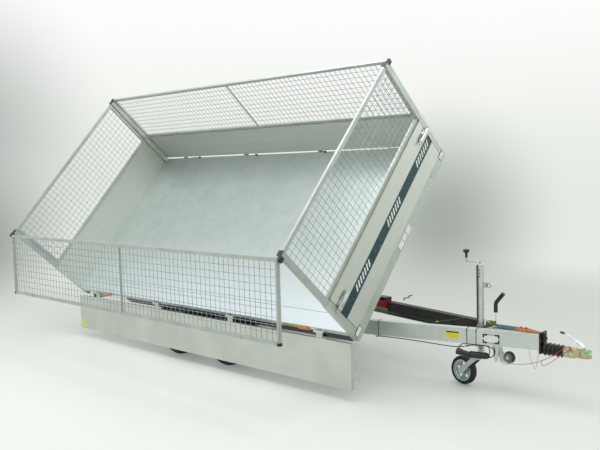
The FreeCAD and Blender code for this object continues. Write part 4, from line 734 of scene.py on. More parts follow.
def panel_pieces(body, node, build, opening, plane, lateral, outward):
    """Makes a panel's frame and the wire mesh of its opening, which lies in the given plane."""
    low, high = opening
    length, height = high[int(lateral)] - low[int(lateral)], high.z - low.z
    wires = grown_mesh(f"{node}_wires", *WIRE_TREE, {
        "Length": length, "Height": height, "Columns": round(length / PITCH) - 1,
        "Rows": round(height / PITCH) - 1, "Wire Radius": WIRE_RADIUS, "Finish": galvanised_wire})
    turn = LATERAL if lateral else Matrix.Identity(4)
    if outward < 0:
        turn = turn @ Matrix.Scale(-1, 4, SIDEWAYS)
    start = Vector((plane, low.y, low.z)) if lateral else Vector((low.x, plane, low.z))
    wires.transform(Matrix.Translation(start) @ turn)
    if outward < 0:
        wires.flip_normals()
    piece(f"{node}_frame", build, galvanised_tube, body, (node,))
    piece_from_mesh(f"{node}_wires", wires, None, body, ())


def side_panel(body, side):
    """Mesh panel over one side. side is -1 for the low side and 1 for the high one."""
    middle_y, inner_y, outer_y = [side * (PANEL_Y + step * RAIL / 2) for step in (0, -1, 1)]
    low = Vector((SIDE_X[0], middle_y - RAIL / 2, MESH_LOW_Z))
    high = Vector((SIDE_X[1], middle_y + RAIL / 2, MESH_TOP_Z))
    build = bmesh.new()
    opening = frame_bars(build, 0, low, high, {2: (RAIL, RAIL), 0: (RAIL, RAIL)})
    middle_x = (low.x + high.x) / 2
    y0, y1 = sorted((inner_y, inner_y + side * MIDDLE_BAR[1]))
    block(build, (middle_x - MIDDLE_BAR[0] / 2, y0, opening[0].z),
          (middle_x + MIDDLE_BAR[0] / 2, y1, opening[1].z), SHEET_ROUNDING)
    for x in SIDE_HOOKS:
        x += BED_REAR
        y0, y1 = sorted((outer_y, outer_y + side * 3 * MM))
        block(build, (x - TONGUE_HALF, y0, low.z + TONGUE_HEIGHTS[0]),
              (x + TONGUE_HALF, y1, low.z + TONGUE_HEIGHTS[1]), SHEET_ROUNDING)
        bolt_z = low.z + 12 * MM
        rod(build, (x, outer_y, bolt_z), (x, outer_y + side * 6 * MM, bolt_z), 5 * MM, 6)
    panel_pieces(body, body, build, opening, middle_y + side * 2 * MM, False, side)


def end_panel(body, node, face_x, inward, half, own_posts):
    """Mesh panel between two uprights. One that swings has posts of its own and two tongues."""
    centre = face_x + inward * RAIL
    low = Vector((centre - RAIL / 2, -half, MESH_LOW_Z))
    high = Vector((centre + RAIL / 2, half, MESH_TOP_Z))
    build = bmesh.new()
    post = END_RAIL if own_posts else 0.0
    opening = frame_bars(build, 1, low, high, {2: (RAIL, END_RAIL), 1: (post, post)})
    for y in (-REAR_TONGUES_Y, REAR_TONGUES_Y) if own_posts else ():
        block(build, (low.x - 3 * MM, y - TONGUE_HALF, low.z + TONGUE_HEIGHTS[0]),
              (low.x, y + TONGUE_HALF, low.z + TONGUE_HEIGHTS[1]), SHEET_ROUNDING)
    panel_pieces(body, node, build, opening, centre, True, inward)


side_panel("near_mesh", -1)
side_panel("far_mesh", 1)
end_panel("bed", "front_mesh", BED_FRONT, -1, HALF_WIDTH - 45 * MM, False)
end_panel("rear_mesh", "rear_mesh", BED_REAR, 1, HALF_WIDTH - 50 * MM, True)
print("mesh panels made at a pitch of", PITCH, "m")

# %% Black ends on the low panel's free corners
CAP_SIZE, OVER = 20 * MM, 1.5 * MM                 # height above the rail's lower edge, and overlap all round
build = bmesh.new()
for x, inward in zip(SIDE_X, (1, -1)):
    a, b = sorted((x - inward * OVER, x + inward * (RAIL + OVER)))
    block(build, (a, -PANEL_Y - RAIL / 2 - OVER, MESH_LOW_Z - 4 * MM),
          (b, -PANEL_Y + RAIL / 2 + OVER, MESH_LOW_Z + CAP_SIZE), FRAME_ROUNDING)
piece("low_mesh_ends", build, black_plastic, "near_mesh", ())
print("black ends on", len(SIDE_X), "corners")

# %% [markdown]
# ## Nodes with more than one finish
# Several CAD pieces are one solid but carry two or three finishes: a plated lever with a black grip, a
# painted housing on a black plate. `parted` mixes colour, metalness and gloss by where a point lies, in boxes
# or in a drum round an axis, so each such node still has one Principled shader.

# %% Finishes by place
FAR = 9.0                                          # beyond the whole trailer, in metres
LEVELLED = {"Center": TIP_POINT, "Angle": -TIP_ANGLE}          # turns the tipped bed's pattern level


def between(tree, value, low, high):
    """1 where low < value < high."""
    above = add(tree, "ShaderNodeMath", {0: value, 1: low}, operation="GREATER_THAN")[0]
    below = add(tree, "ShaderNodeMath", {0: value, 1: high}, operation="LESS_THAN")[0]
    return add(tree, "ShaderNodeMath", {0: above, 1: below}, operation="MULTIPLY")[0]


def box_zone(low=(-FAR, -FAR, -FAR), high=(FAR, FAR, FAR)):
    """Mask that is 1 inside a box."""
    def mask(tree, place):
        axes = add(tree, "ShaderNodeSeparateXYZ", {0: place})
        inside = 1.0
        for axis in range(3):
            slab = between(tree, axes[axis], low[axis], high[axis])
            inside = add(tree, "ShaderNodeMath", {0: inside, 1: slab}, operation="MULTIPLY")[0]
        return inside
    return mask


def drum_zone(centre, axis, radius):
    """Mask that is 1 within a distance of a line."""
    way = Vector(axis).normalized()

    def mask(tree, place):
        away = add(tree, "ShaderNodeVectorMath", {0: place, 1: centre}, operation="SUBTRACT")[0]
        cross = add(tree, "ShaderNodeVectorMath", {0: away, 1: way}, operation="CROSS_PRODUCT")[0]
        distance = add(tree, "ShaderNodeVectorMath", {0: cross}, operation="LENGTH")["Value"]
        return add(tree, "ShaderNodeMath", {0: distance, 1: radius}, operation="LESS_THAN")[0]
    return mask


def parted(name, base, zones, level=False, grain=(28.0, 28.0, 28.0)):
    """Material with a base finish and others in zones. A zone is (finish, function that gives its mask), and
    grain is how many times a metre the tone changes along each axis."""
    material, tree = start_material(name)
    place = add(tree, "ShaderNodeTexCoord")["Object"]
    if level:
        turned = {"Vector": place, **LEVELLED}
        place = add(tree, "ShaderNodeVectorRotate", turned, rotation_type="X_AXIS")[0]
    laid = add(tree, "ShaderNodeMapping", {"Vector": place, "Scale": grain})[0]
    cloud = add(tree, "ShaderNodeTexNoise", {"Vector": laid, "Scale": 1.0, "Detail": 4.0})[0]
    dark, light, metal, gloss = base
    tone = add(tree, "ShaderNodeValToRGB", {0: cloud}, [(0.35, dark), (0.7, light)])[0]
    for (dark, light, zone_metal, zone_gloss), mask_of in zones:
        mask = mask_of(tree, place)
        zone_tone = add(tree, "ShaderNodeValToRGB", {0: cloud}, [(0.35, dark), (0.7, light)])[0]
        tone = add(tree, "ShaderNodeMix", {0: mask, 6: tone, 7: zone_tone}, data_type="RGBA")[2]
        metal = add(tree, "ShaderNodeMix", {0: mask, 2: metal, 3: zone_metal})[0]
        gloss = add(tree, "ShaderNodeMix", {0: mask, 2: gloss, 3: zone_gloss})[0]
    finish(tree, {"Base Color": tone, "Metallic": metal, "Roughness": gloss}, cloud, 0.1 * MM, 0.15)
    return material


# %% [markdown]
# The coupling has a yellow passivated coat with a green nose, the overrun housing is teal and orange, and the
# jockey wheel's rubber runs round a plated disc.

# %% Finishes of the coupling, handbrake, support leg and jockey wheel
# dark tone, light tone, metalness, roughness
ZINC = ("A7ADAE", "D6DADA", 0.9, 0.30)
BRIGHT = ("CDD1D3", "E9ECED", 0.95, 0.16)
DIPPED = ("A6ADA9", "C6CCC7", 0.8, 0.42)
BLACK = ("0F1011", "1E2021", 0.0, 0.38)
RUBBER = ("131415", "242526", 0.0, 0.68)
TEAL = ("24484C", "355F61", 0.0, 0.36)
ORANGE = ("8A4A1C", "B06A2E", 0.0, 0.40)
# Painted shade: a darker yellow zinc for the handbrake's toothed sector in shade.
SHADED_YELLOW_ZINC = ("6E6F4A", "8B8B5E", 0.75, 0.42)
YELLOW_ZINC = ("B0A987", "C6BE96", 0.6, 0.38)
NOSE_GREEN = ("4E9C82", "74B79C", 0.1, 0.40)
RED = ("8E1410", "C3261C", 0.0, 0.32)
HUB_GREY = ("565E60", "7C8486", 0.4, 0.36)
DISC_BLUE = ("7F9899", "A9BDBC", 0.5, 0.34)

ORANGE_FROM, PLATE_FROM, GRIP_FROM, PAWL = -0.490, -0.303, 0.212, (9.5 * MM, 14.5 * MM, 0.10, 0.16)
NOSE_FROM, HANDLE_GRIP, ISOLATOR_KEY_FROM = (6 * MM, 22 * MM), (-0.180, -0.138, 0.128), 0.125
LEG_HUB = Vector((-0.523, 0, -0.082))
JOCKEY_X, TRAIL, SWIVEL = -0.772, 0.165, math.radians(-9)      # mast, caster's trail and its turn
jockey_centre = Vector((JOCKEY_X - TRAIL * math.cos(SWIVEL), -TRAIL * math.sin(SWIVEL), GROUND + 108 * MM))
jockey_axis = Vector((-math.sin(SWIVEL), math.cos(SWIVEL), 0))
PARTED = (                         # node, name, base finish, zones
    ("overrun_flange", "overrun_housing_paint", TEAL, [
        (ORANGE, box_zone((ORANGE_FROM, -FAR, -FAR), (PLATE_FROM, FAR, FAR))),
        (BLACK, box_zone((PLATE_FROM, -FAR, -FAR)))]),
    ("handbrake", "handbrake_zinc_and_grip", BRIGHT, [
        (BLACK, box_zone((-FAR, -FAR, GRIP_FROM))),
        (SHADED_YELLOW_ZINC, box_zone((-FAR, PAWL[0], PAWL[2]), (FAR, PAWL[1], PAWL[3])))]),
    ("coupling_head", "coupling_yellow_zinc", YELLOW_ZINC, [
        (NOSE_GREEN, box_zone((NOSE_FROM[0], -FAR, NOSE_FROM[1])))]),
    ("coupling_handle", "coupling_handle_chrome", BRIGHT, [
        (BLACK, box_zone((HANDLE_GRIP[0], -FAR, HANDLE_GRIP[2]), (HANDLE_GRIP[1], FAR, FAR)))]),
    ("isolator", "isolator_red_plastic", RED, [(BLACK, box_zone((-FAR, -FAR, ISOLATOR_KEY_FROM)))]),
    ("support_leg", "support_leg_steel", DIPPED, [
        (HUB_GREY, drum_zone(LEG_HUB, SIDEWAYS, 33 * MM)), (ZINC, drum_zone(LEG_HUB, SIDEWAYS, 12 * MM))]),
    ("jockey_wheel", "jockey_rubber_and_disc", RUBBER, [
        (BRIGHT, drum_zone(jockey_centre, jockey_axis, 80 * MM)),
        (DISC_BLUE, drum_zone(jockey_centre, jockey_axis, 71 * MM))]),
)
for node, name, base, zones in PARTED:
    dress(node, parted(name, base, zones))
print(len(PARTED), "nodes dressed in more than one finish")

# %% [markdown]
# ## Boards, stripe and stickers
# The end boards are anodised extrusions with a plated latch at each end, and the far board's outer face is
# painted darker and duller, as painted shade. A teal film runs along the front board, with faint contour
# lines in it, three groups of leaning bars and a pale line along its lower edge. The motif is drawn by the
# material from the board's own height and width.

# %% Finishes of the boards
BOARD = ("C8CCC4", "CFD3CB", 0.6, 0.46)
FAR_BOARD, FAR_BOARD_PAINTED_SHADE = ("BEC2BC", "CBCFC8", 0.6, 0.42), ("989E99", "A4AAA4", 0.35, 0.52)
PROUD = (0.4 * MM, 60 * MM)                        # how far the latches stand out of the board's face
for name, face_x, outward in (("front_board", BED_FRONT, 1), ("rear_board", BED_REAR, -1)):
    a, b = sorted(face_x + outward * out for out in PROUD)
    latches = (BRIGHT, box_zone((a, -FAR, -FAR), (b, FAR, FAR)))
    dress(name, parted(f"{name}_aluminium", BOARD, [latches], True, (3.0, 6.0, 90.0)))
# Painted shade: the far board's outer face is darker and duller.
outside = (FAR_BOARD_PAINTED_SHADE, box_zone((-FAR, HALF_WIDTH + 29 * MM, -FAR)))
dress("far_side", parted("far_board_aluminium", FAR_BOARD, [outside], True, (1.2, 40.0, 90.0)))
print("both end boards and the far side dressed")

# %% Stripe film
STRIPE_ACROSS, STRIPE_UP = (0.045, 1.705), (0.112, 0.200)      # from the bed's low edge, above the floor
BAR_GROUPS = ((0.170, 0.415), (0.745, 1.000), (1.325, 1.575))  # where their slanted lines meet the floor
BARS_UP, BAR_PITCH, BAR_SHARE, BAR_LEAN = (0.136, 0.184), 0.036, 0.52, 0.55
CONTOURS, CONTOUR_FROM, PALE_EDGE = 70.0, 0.80, 5 * MM
FILM_DARK, FILM_CONTOUR, FILM_BAR, FILM_EDGE = map(colour, ("0C2E33", "1F5257", "E4EAE8", "A9C3CF"))
FILM = 0.4 * MM


def stripe_material():
    material, tree = start_material("teal_vinyl_film")
    place = add(tree, "ShaderNodeTexCoord")["Object"]
    cloud = add(tree, "ShaderNodeTexNoise", {"Vector": place, "Scale": 9.0, "Detail": 1.5})[0]
    level = add(tree, "ShaderNodeVectorRotate", {"Vector": place, **LEVELLED}, rotation_type="X_AXIS")[0]
    axes = add(tree, "ShaderNodeSeparateXYZ", {0: level})
    across = add(tree, "ShaderNodeMath", {0: axes["Y"], 1: HALF_WIDTH}, operation="ADD")[0]
    height = add(tree, "ShaderNodeMath", {0: axes["Z"], 1: FLOOR_Z}, operation="SUBTRACT")[0]
    waves = add(tree, "ShaderNodeMath", {0: cloud, 1: CONTOURS}, operation="MULTIPLY")[0]
    waves = add(tree, "ShaderNodeMath", {0: waves}, operation="SINE")[0]
    contour = {0: between(tree, waves, CONTOUR_FROM, 2.0), 6: FILM_DARK, 7: FILM_CONTOUR}
    tone = add(tree, "ShaderNodeMix", contour, data_type="RGBA")[2]
    leaning = add(tree, "ShaderNodeMath", {0: height, 1: -BAR_LEAN, 2: across}, operation="MULTIPLY_ADD")[0]
    beat = add(tree, "ShaderNodeMath", {0: leaning, 1: 1 / BAR_PITCH}, operation="MULTIPLY")[0]
    beat = add(tree, "ShaderNodeMath", {0: beat}, operation="FRACT")[0]
    bars = add(tree, "ShaderNodeMath", {0: beat, 1: BAR_SHARE}, operation="LESS_THAN")[0]
    groups = 0.0
    for low, high in BAR_GROUPS:
        group = between(tree, leaning, low, high)
        groups = add(tree, "ShaderNodeMath", {0: groups, 1: group}, operation="MAXIMUM")[0]
    for limit in (groups, between(tree, height, *BARS_UP)):
        bars = add(tree, "ShaderNodeMath", {0: bars, 1: limit}, operation="MULTIPLY")[0]
    tone = add(tree, "ShaderNodeMix", {0: bars, 6: tone, 7: FILM_BAR}, data_type="RGBA")[2]
    edge = add(tree, "ShaderNodeMath", {0: height, 1: STRIPE_UP[0] + PALE_EDGE}, operation="LESS_THAN")[0]
    tone = add(tree, "ShaderNodeMix", {0: edge, 6: tone, 7: FILM_EDGE}, data_type="RGBA")[2]
    finish(tree, {"Base Color": tone, "Roughness": 0.5}, cloud, 0.05 * MM, 0.1)
    return material


def front_plate(name, across, up, material, thickness=FILM, body="bed", face=BED_FRONT):
    """Thin film or plate on a face that looks forwards, measured across from the floor's low edge and up."""
    low = (face, -HALF_WIDTH + across[0], FLOOR_Z + up[0])
    high = (face + thickness, -HALF_WIDTH + across[1], FLOOR_Z + up[1])
    block_piece(name, low, high, 0.0, material, body)


front_plate("teal_stripe", STRIPE_ACROSS, STRIPE_UP, stripe_material(), FILM, "front_board", BED_FRONT)
STICKERS = (((0.795, 0.862), (-0.100, -0.052)), ((0.872, 0.930), (-0.097, -0.050)),
            ((0.940, 1.005), (-0.104, -0.046)))
for number, (across, up) in enumerate(STICKERS):
    front_plate(f"white_sticker_{number}", across, up, white_film)
print("stripe with", len(BAR_GROUPS), "groups of bars,", len(STICKERS), "stickers")

# %% [markdown]
# At each end of the band a white hinge cover sits on a black rim of painted shadow, and each latch on a black
# plate of painted shade. A thin sill in front of the band closes the slit under the front board; the board's
# foot turns away from it.

# %% Hinge covers, latch plates, levers and the sill
COVERS, COVER_UP, COVER_SHADOW_RIM = ((0.012, 0.086), (1.669, 1.743)), (-0.068, -0.032), 5 * MM
LATCH_FROM_END, LATCH_LONG, LATCH_SHADE_EDGE, PLATE_SHEET = 0.061, 0.115, 5 * MM, 1.2 * MM
LATCH_UP, LATCH_SHADE_HALF = 0.250, 0.023
LATCH_STARTS = (LATCH_FROM_END, 2 * HALF_WIDTH - LATCH_FROM_END - LATCH_LONG)
SILL_INSET, SILL_UP = 4 * MM, (-0.046, -0.029)
LEVER_STARTS = (LATCH_STARTS[0] - 0.022, LATCH_STARTS[1] - 0.012)
LEVER_LONG, LEVER_UP, LEVER_OUT = 0.149, (0.235, 0.265), (21 * MM, 31 * MM)
# Painted shadow: a black rim round each hinge cover.
for number, (start, end) in enumerate(COVERS):
    front_plate(f"hinge_cover_{number}", (start, end), COVER_UP, white_film, 3.5 * MM)
    front_plate(f"hinge_cover_shadow_{number}", (start - COVER_SHADOW_RIM, end + COVER_SHADOW_RIM),
                (COVER_UP[0] - COVER_SHADOW_RIM, COVER_UP[1] + COVER_SHADOW_RIM), black_plastic, 2.0 * MM)
# Painted shade: a black plate round each latch.
for board, face in (("front_board", BED_FRONT), ("rear_board", BED_REAR - PLATE_SHEET)):
    for number, start in enumerate(LATCH_STARTS):
        front_plate(f"{board}_latch_shade_plate_{number}", (start - LATCH_SHADE_EDGE, start + LATCH_LONG + LATCH_SHADE_EDGE),
                    (LATCH_UP - LATCH_SHADE_HALF, LATCH_UP + LATCH_SHADE_HALF), black_plastic, PLATE_SHEET,
                    board, face)
front_plate("front_board_sill", (SILL_INSET, 2 * HALF_WIDTH - SILL_INSET), SILL_UP, galvanised_band,
            PLATE_SHEET, "bed", BED_FRONT + 0.1 * MM)
for number, start in enumerate(LEVER_STARTS):
    block_piece(f"front_latch_lever_{number}",
                (BED_FRONT + LEVER_OUT[0], -HALF_WIDTH + start, FLOOR_Z + LEVER_UP[0]),
                (BED_FRONT + LEVER_OUT[1], -HALF_WIDTH + start + LEVER_LONG, FLOOR_Z + LEVER_UP[1]),
                4 * MM, chrome, "front_board")
print(len(COVERS), "hinge covers,", len(LEVER_STARTS), "levers and the sill made")

# %% [markdown]
# The side boards are hollow, so a thin cap closes each end. The low board carries a round yellow sticker near
# its rear end, on the face that was inside when the board was shut, and a wire loop for the front latch.

# %% End caps, the round sticker and the catch loop
SIDE_ENDS, CAP_SHEET, CAP_LOW = (BED_REAR + 16 * MM, BED_FRONT - 16 * MM), 1.5 * MM, 13 * MM
SIDE_INNER, SIDE_OUTER = HALF_WIDTH + 5 * MM, HALF_WIDTH + 30 * MM
SPOT, SPOT_RADIUS = Vector((BED_REAR + 0.072, -SIDE_INNER, FLOOR_Z + 0.300)), 33 * MM
LOOP_START, LOOP_END, LOOP_LOW, LOOP_TOP = BED_FRONT - 20 * MM, BED_FRONT + 46 * MM, 0.222, 0.280
LOOP_WIRE, LOOP_Y = 3 * MM, -(SIDE_INNER + SIDE_OUTER) / 2
for body, side in (("near_side", -1), ("far_side", 1)):
    build = bmesh.new()
    y0, y1 = sorted((side * SIDE_INNER, side * SIDE_OUTER))
    for x in SIDE_ENDS:
        block(build, (x - CAP_SHEET, y0, FLOOR_Z + CAP_LOW), (x + CAP_SHEET, y1, RIM_Z), 0.5 * MM)
    piece(f"{body}_end_caps", build, aluminium_along, body)
build = bmesh.new()
rod(build, SPOT, SPOT + Vector((0, FILM, 0)), SPOT_RADIUS, 32)
piece("yellow_round_sticker", build, yellow_film, "near_side")
build = bmesh.new()
for (x0, z0), (x1, z1) in (((LOOP_START, LOOP_LOW), (LOOP_END, LOOP_LOW + LOOP_WIRE)),
                           ((LOOP_START, LOOP_TOP - LOOP_WIRE), (LOOP_END, LOOP_TOP)),
                           ((LOOP_END - LOOP_WIRE, LOOP_LOW), (LOOP_END, LOOP_TOP))):
    block(build, (x0, LOOP_Y - LOOP_WIRE / 2, FLOOR_Z + z0),
          (x1, LOOP_Y + LOOP_WIRE / 2, FLOOR_Z + z1), 1.2 * MM)
piece("near_side_catch_loop", build, zinc_plate, "near_side")
print("side boards capped")

# %% [markdown]
# Below the floor's folded edge hangs a black strip in two lengths: painted shade in the slit to the open
# board, where the shade under the bed shows. A lime label and two white ones sit on the edge, dark clips
# bridge the slit at the far edge, a narrow sheet fills the slit in front of the rear board, and a thin dark
# seam shows where the floor's sheets meet.

# %% Strips, labels, clips and seam of the floor
STRIP, LABEL, WHITE_UP = (-0.125, -0.050), (0.0, FILM), (-0.044, -0.012)
EDGE_PLATES = (                    # name, from and to x, heights from the floor, distances outwards, finish
    # Painted shade: two black strips where the shade under the bed shows through the slit.
    ("painted_shade_strip", (-4.12, -1.70), STRIP, (-3 * MM, 0.0), gaiter_rubber),
    ("painted_shade_strip_front", (-1.60, -1.365), STRIP, (-3 * MM, 0.0), gaiter_rubber),
    ("lime_label", (-1.990, -1.862), (-0.048, -0.010), LABEL, lime_film),
    ("white_edge_label", (-1.71, -1.62), WHITE_UP, LABEL, white_film),
    ("rear_edge_label", (-4.66, -4.57), WHITE_UP, LABEL, white_film),
)
CLIPS_X, CLIP_HALF, CLIP_UP, CLIP_OUT = (-4.30, -3.42, -2.52, -1.62), 14 * MM, 12 * MM, (-12 * MM, 2 * MM)
FILLER_X, FILLER_UP = (25.5 * MM, 40 * MM), (-3 * MM, -0.3 * MM)
SEAM_Y, SEAM, SEAM_UP, SEAM_INSET = -0.744, 2.5 * MM, 0.2 * MM, 0.042
for name, (x0, x1), (low, top), (inner, outer), material in EDGE_PLATES:
    block_piece(name, (x0, -HALF_WIDTH - inner, FLOOR_Z + low), (x1, -HALF_WIDTH - outer, FLOOR_Z + top), 0.0,
                material, "bed")
for number, x in enumerate(CLIPS_X):
    block_piece(f"edge_clip_{number}", (x - CLIP_HALF, HALF_WIDTH + CLIP_OUT[0], FLOOR_Z),
                (x + CLIP_HALF, HALF_WIDTH + CLIP_OUT[1], FLOOR_Z + CLIP_UP), 1.5 * MM, black_plastic, "bed")
block_piece("floor_rear_filler", (BED_REAR + FILLER_X[0], -HALF_WIDTH + 0.5 * MM, FLOOR_Z + FILLER_UP[0]),
            (BED_REAR + FILLER_X[1], HALF_WIDTH - 0.5 * MM, FLOOR_Z + FILLER_UP[1]), 0.0, floor_sheet_zinc,
            "bed")
block_piece("floor_seam", (BED_REAR + SEAM_INSET, SEAM_Y - SEAM / 2, FLOOR_Z - SEAM_UP),
            (BED_FRONT - SEAM_INSET, SEAM_Y + SEAM / 2, FLOOR_Z + SEAM_UP), 0.0, black_plastic, "bed")
print(len(EDGE_PLATES), "strips and labels,", len(CLIPS_X), "clips")

# %% [markdown]
# ## Road tyres
# A van-type trailer tyre, 195 mm wide and 525 mm high. The profile is turned about the axle: bead, a side
# wall with two raised rings, a round shoulder and a tread with four grooves round it. Slots cut the two
# shoulder ribs into blocks, 54 round the tyre, so the rings of points are closer together where a slot is.
# Five nuts hold each wheel, and a rubber valve stands below its hub.

# %% Tyres
TYRE_R, BEAD = 262.5, (166, 82)                    # the profile's sizes are in millimetres
WHEEL_Y, WHEEL_Z = 0.6475, GROUND + TYRE_R * MM
WHEELS = {"front": -2.80, "rear": -3.46}
GROOVES, GROOVE_HALF, GROOVE_SLANT, GROOVE_DEPTH = (18, 50), 4, 1, 7
BLOCKS, SLOT_DEPTH = 54, 5
SLOT_STEPS = ((0.00, False), (0.40, False), (0.47, True), (0.60, True), (0.67, False))
SHOULDER = (                       # drop from the tread, distance from the middle
    (2.0, 74.0), (5.5, 82.0), (11.0, 89.0), (19.0, 94.5),
)
WALL = (                           # radius, distance from the middle
    (235.0, 96.8), (228.0, 97.4), (226.0, 95.9), (212.0, 96.4), (200.0, 94.0), (199.0, 95.2), (194.0, 93.8),
    (193.0, 92.0), (180.0, 87.0), (171.0, 84.2),
)


def tyre_profile(slotted):
    """(radius, distance from the middle) from bead to bead."""
    cut = SLOT_DEPTH if slotted else 0.0
    half = [(TYRE_R, 0.0)]
    for groove in GROOVES:
        start, end, bottom = groove - GROOVE_HALF, groove + GROOVE_HALF, TYRE_R - GROOVE_DEPTH
        half += [(TYRE_R, start), (bottom, start + GROOVE_SLANT), (bottom, end - GROOVE_SLANT), (TYRE_R, end)]
    half[-1] = (TYRE_R - cut, half[-1][1])
    half += [(TYRE_R - drop - cut * 0.8, at) for drop, at in SHOULDER]
    half += [*WALL, BEAD]
    return [(r, -at) for r, at in reversed(half[1:])] + half


def tyre(build, centre):
    profiles = {slotted: tyre_profile(slotted) for slotted in (False, True)}
    rings = []
    for number in range(BLOCKS):
        for step, slotted in SLOT_STEPS:
            angle = 2 * math.pi * (number + step) / BLOCKS
            rings.append([centre + Vector((r * math.sin(angle), at, r * math.cos(angle))) * MM
                          for r, at in profiles[slotted]])
    join_rings(build, rings)


def stepped_rod(build, start, way, steps):
    """Rods in a row along a direction. steps is a list of (from, to, radius, sides, end radius) in mm."""
    for low, high, radius, sides, end_radius in steps:
        rod(build, start + way * low * MM, start + way * high * MM, radius * MM, sides, end_radius * MM)


NUTS, NUT_CIRCLE, NUT_FACE = 5, 56, 41
NUT = ((-4, 3, 13, 20, 11), (0, 15, 10.5, 6, 10.5), (15, 20, 8, 12, 4))
VALVE_OUT, VALVE_BELOW = (46, 82), (-147, -143)
for end, x in WHEELS.items():
    for side_name, side in (("left", 1), ("right", -1)):
        body, wheel = f"wheel_{end}_{side_name}", f"{end}_{side_name}"
        centre, way = Vector((x, side * WHEEL_Y, WHEEL_Z)), Vector((0, side, 0))
        build = bmesh.new()
        tyre(build, centre)
        piece(f"tyre_{wheel}_tread", build, tyre_rubber, body, (f"tyre_{wheel}",))
        build = bmesh.new()
        for i in range(NUTS):
            angle = 2 * math.pi * (i + 0.5) / NUTS
            out = Vector((NUT_CIRCLE * math.sin(angle), side * NUT_FACE, NUT_CIRCLE * math.cos(angle))) * MM
            stepped_rod(build, centre + out, way, NUT)
        piece(f"wheel_nuts_{wheel}", build, zinc_plate, body, ())
        build = bmesh.new()
        foot, tip = [centre + Vector((0, side * out, z)) * MM for out, z in zip(VALVE_OUT, VALVE_BELOW)]
        rod(build, foot, tip, 5 * MM, 12, 3.5 * MM)
        piece(f"valve_{wheel}", build, gaiter_rubber, body)
print("tyres:", BLOCKS, "blocks round each")

# %% [markdown]
# ## Bolts and rivets
# Hexagon bolts on washers hold the running gear, and dome rivets the sheet parts. Each is an instance on a
# point, turned to face the way its point says. Bolts of one size on one body make one piece.

# %% Geometry Nodes tree for fasteners
WASHER_RADIUS, WASHER_HEIGHT, WASHER_LIFT = 1.45, 0.36, 0.1              # of the head's radius and height


def build_fastener_tree(name, sides, top, lift, on_washer):
    """Head at every point, facing the point's own direction. top is the head's upper radius as a share of
    its lower one, and lift how far its middle stands off, as a share of its height."""
    tree, given, identifiers = start_tree(name, {
        "Points": "NodeSocketGeometry", "Head Radius": "NodeSocketFloat", "Head Height": "NodeSocketFloat",
        "Finish": "NodeSocketMaterial"})
    radius, height = given["Head Radius"], given["Head Height"]

    def raised(kind, corners, shares, lift):
        """Shape whose sizes are (size, share) pairs, raised by a share of the head's height."""
        sizes = {socket: add(tree, "ShaderNodeMath", {0: size, 1: share}, operation="MULTIPLY")[0]
                 for socket, (size, share) in {**shares, "lift": (height, lift)}.items()}
        offset = add(tree, "ShaderNodeCombineXYZ", {"Z": sizes.pop("lift")})[0]
        shape = add(tree, kind, {"Vertices": corners, **sizes})["Mesh"]
        return add(tree, "GeometryNodeTransform", {0: shape, "Translation": offset})[0]

    shapes = [raised("GeometryNodeMeshCone", sides, {
        "Radius Top": (radius, top), "Radius Bottom": (radius, 1.0), "Depth": (height, 1.0)}, lift)]
    if on_washer:
        shapes.append(raised("GeometryNodeMeshCylinder", 16, {
            "Radius": (radius, WASHER_RADIUS), "Depth": (height, WASHER_HEIGHT)}, WASHER_LIFT))
    fastener = add(tree, "GeometryNodeJoinGeometry", {0: shapes})[0]
    facing = add(tree, "GeometryNodeInputNamedAttribute", {"Name": "facing"}, data_type="FLOAT_VECTOR")[0]
    turn = add(tree, "FunctionNodeAlignRotationToVector", {"Vector": facing}, axis="Z")[0]
    placed = add(tree, "GeometryNodeInstanceOnPoints", {
        "Points": given["Points"], "Instance": fastener, "Rotation": turn})[0]
    end_tree(tree, placed, given["Finish"])
    return tree, identifiers


BOLT = build_fastener_tree("hexagon_bolts", 6, 0.94, 0.2, True)
RIVET = build_fastener_tree("dome_rivets", 12, 0.5, 0.0, False)
print("nodes in the bolt's tree:", len(BOLT[0].nodes), "and the rivet's:", len(RIVET[0].nodes))


def fasteners(name, body, radius, height, rows, kind=BOLT, material=zinc_plate):
    """Bolts or rivets of one size in millimetres on one body. rows is a list of (point, direction)."""
    base = bpy.data.meshes.new(name + "_points")
    base.from_pydata([point for point, _ in rows], [], [])
    ways = [value for _, way in rows for value in way]
    base.attributes.new("facing", "FLOAT_VECTOR", "POINT").data.foreach_set("vector", ways)
    sizes = {"Head Radius": radius * MM, "Head Height": height * MM, "Finish": material}
    piece_from_mesh(name, grown_mesh(name, *kind, sizes, base), None, body, ())


# %% [markdown]
# Bolts sit on the overrun flange, on both beams, at the coupling and under the axles' brackets; rivets and
# small bolts sit on the end boards, the bands, the corner posts and the floor.

# %% Where the bolts and rivets are
SIDES = (-1, 1)
FLANGE_FACE, BEAM_TOP = -290, 111                  # in millimetres
LATCH_Z, LATCH_END = FLOOR_Z + LATCH_UP, HALF_WIDTH - LATCH_FROM_END
fasteners("flange_bolts", "chassis", 9, 7, [
    ((FLANGE_FACE * MM, side * 0.039, z), FORE) for side in SIDES for z in (-0.012, 0.070)],
    BOLT, black_enamel)
fasteners("beam_bolts", "chassis", 6, 5, [
    (point, UP) for point in (on_beam(-655, 0, BEAM_TOP), on_beam(-610, 0, BEAM_TOP),
                              (-0.520, -0.074, BEAM_TOP * MM), (-0.487, -0.050, BEAM_TOP * MM))])
fasteners("coupling_bolts", "chassis", 9, 8, [
    ((x, side * 0.030, 8 * MM), (0, side, 0)) for x in (-0.122, -0.086) for side in SIDES])
fasteners("axle_bolts", "chassis", 11, 9, [
    ((x + 0.150 + dx, side * 0.465, GROUND + 0.305), DOWN)
    for x in WHEELS.values() for side in SIDES for dx in (-0.022, 0.022)])
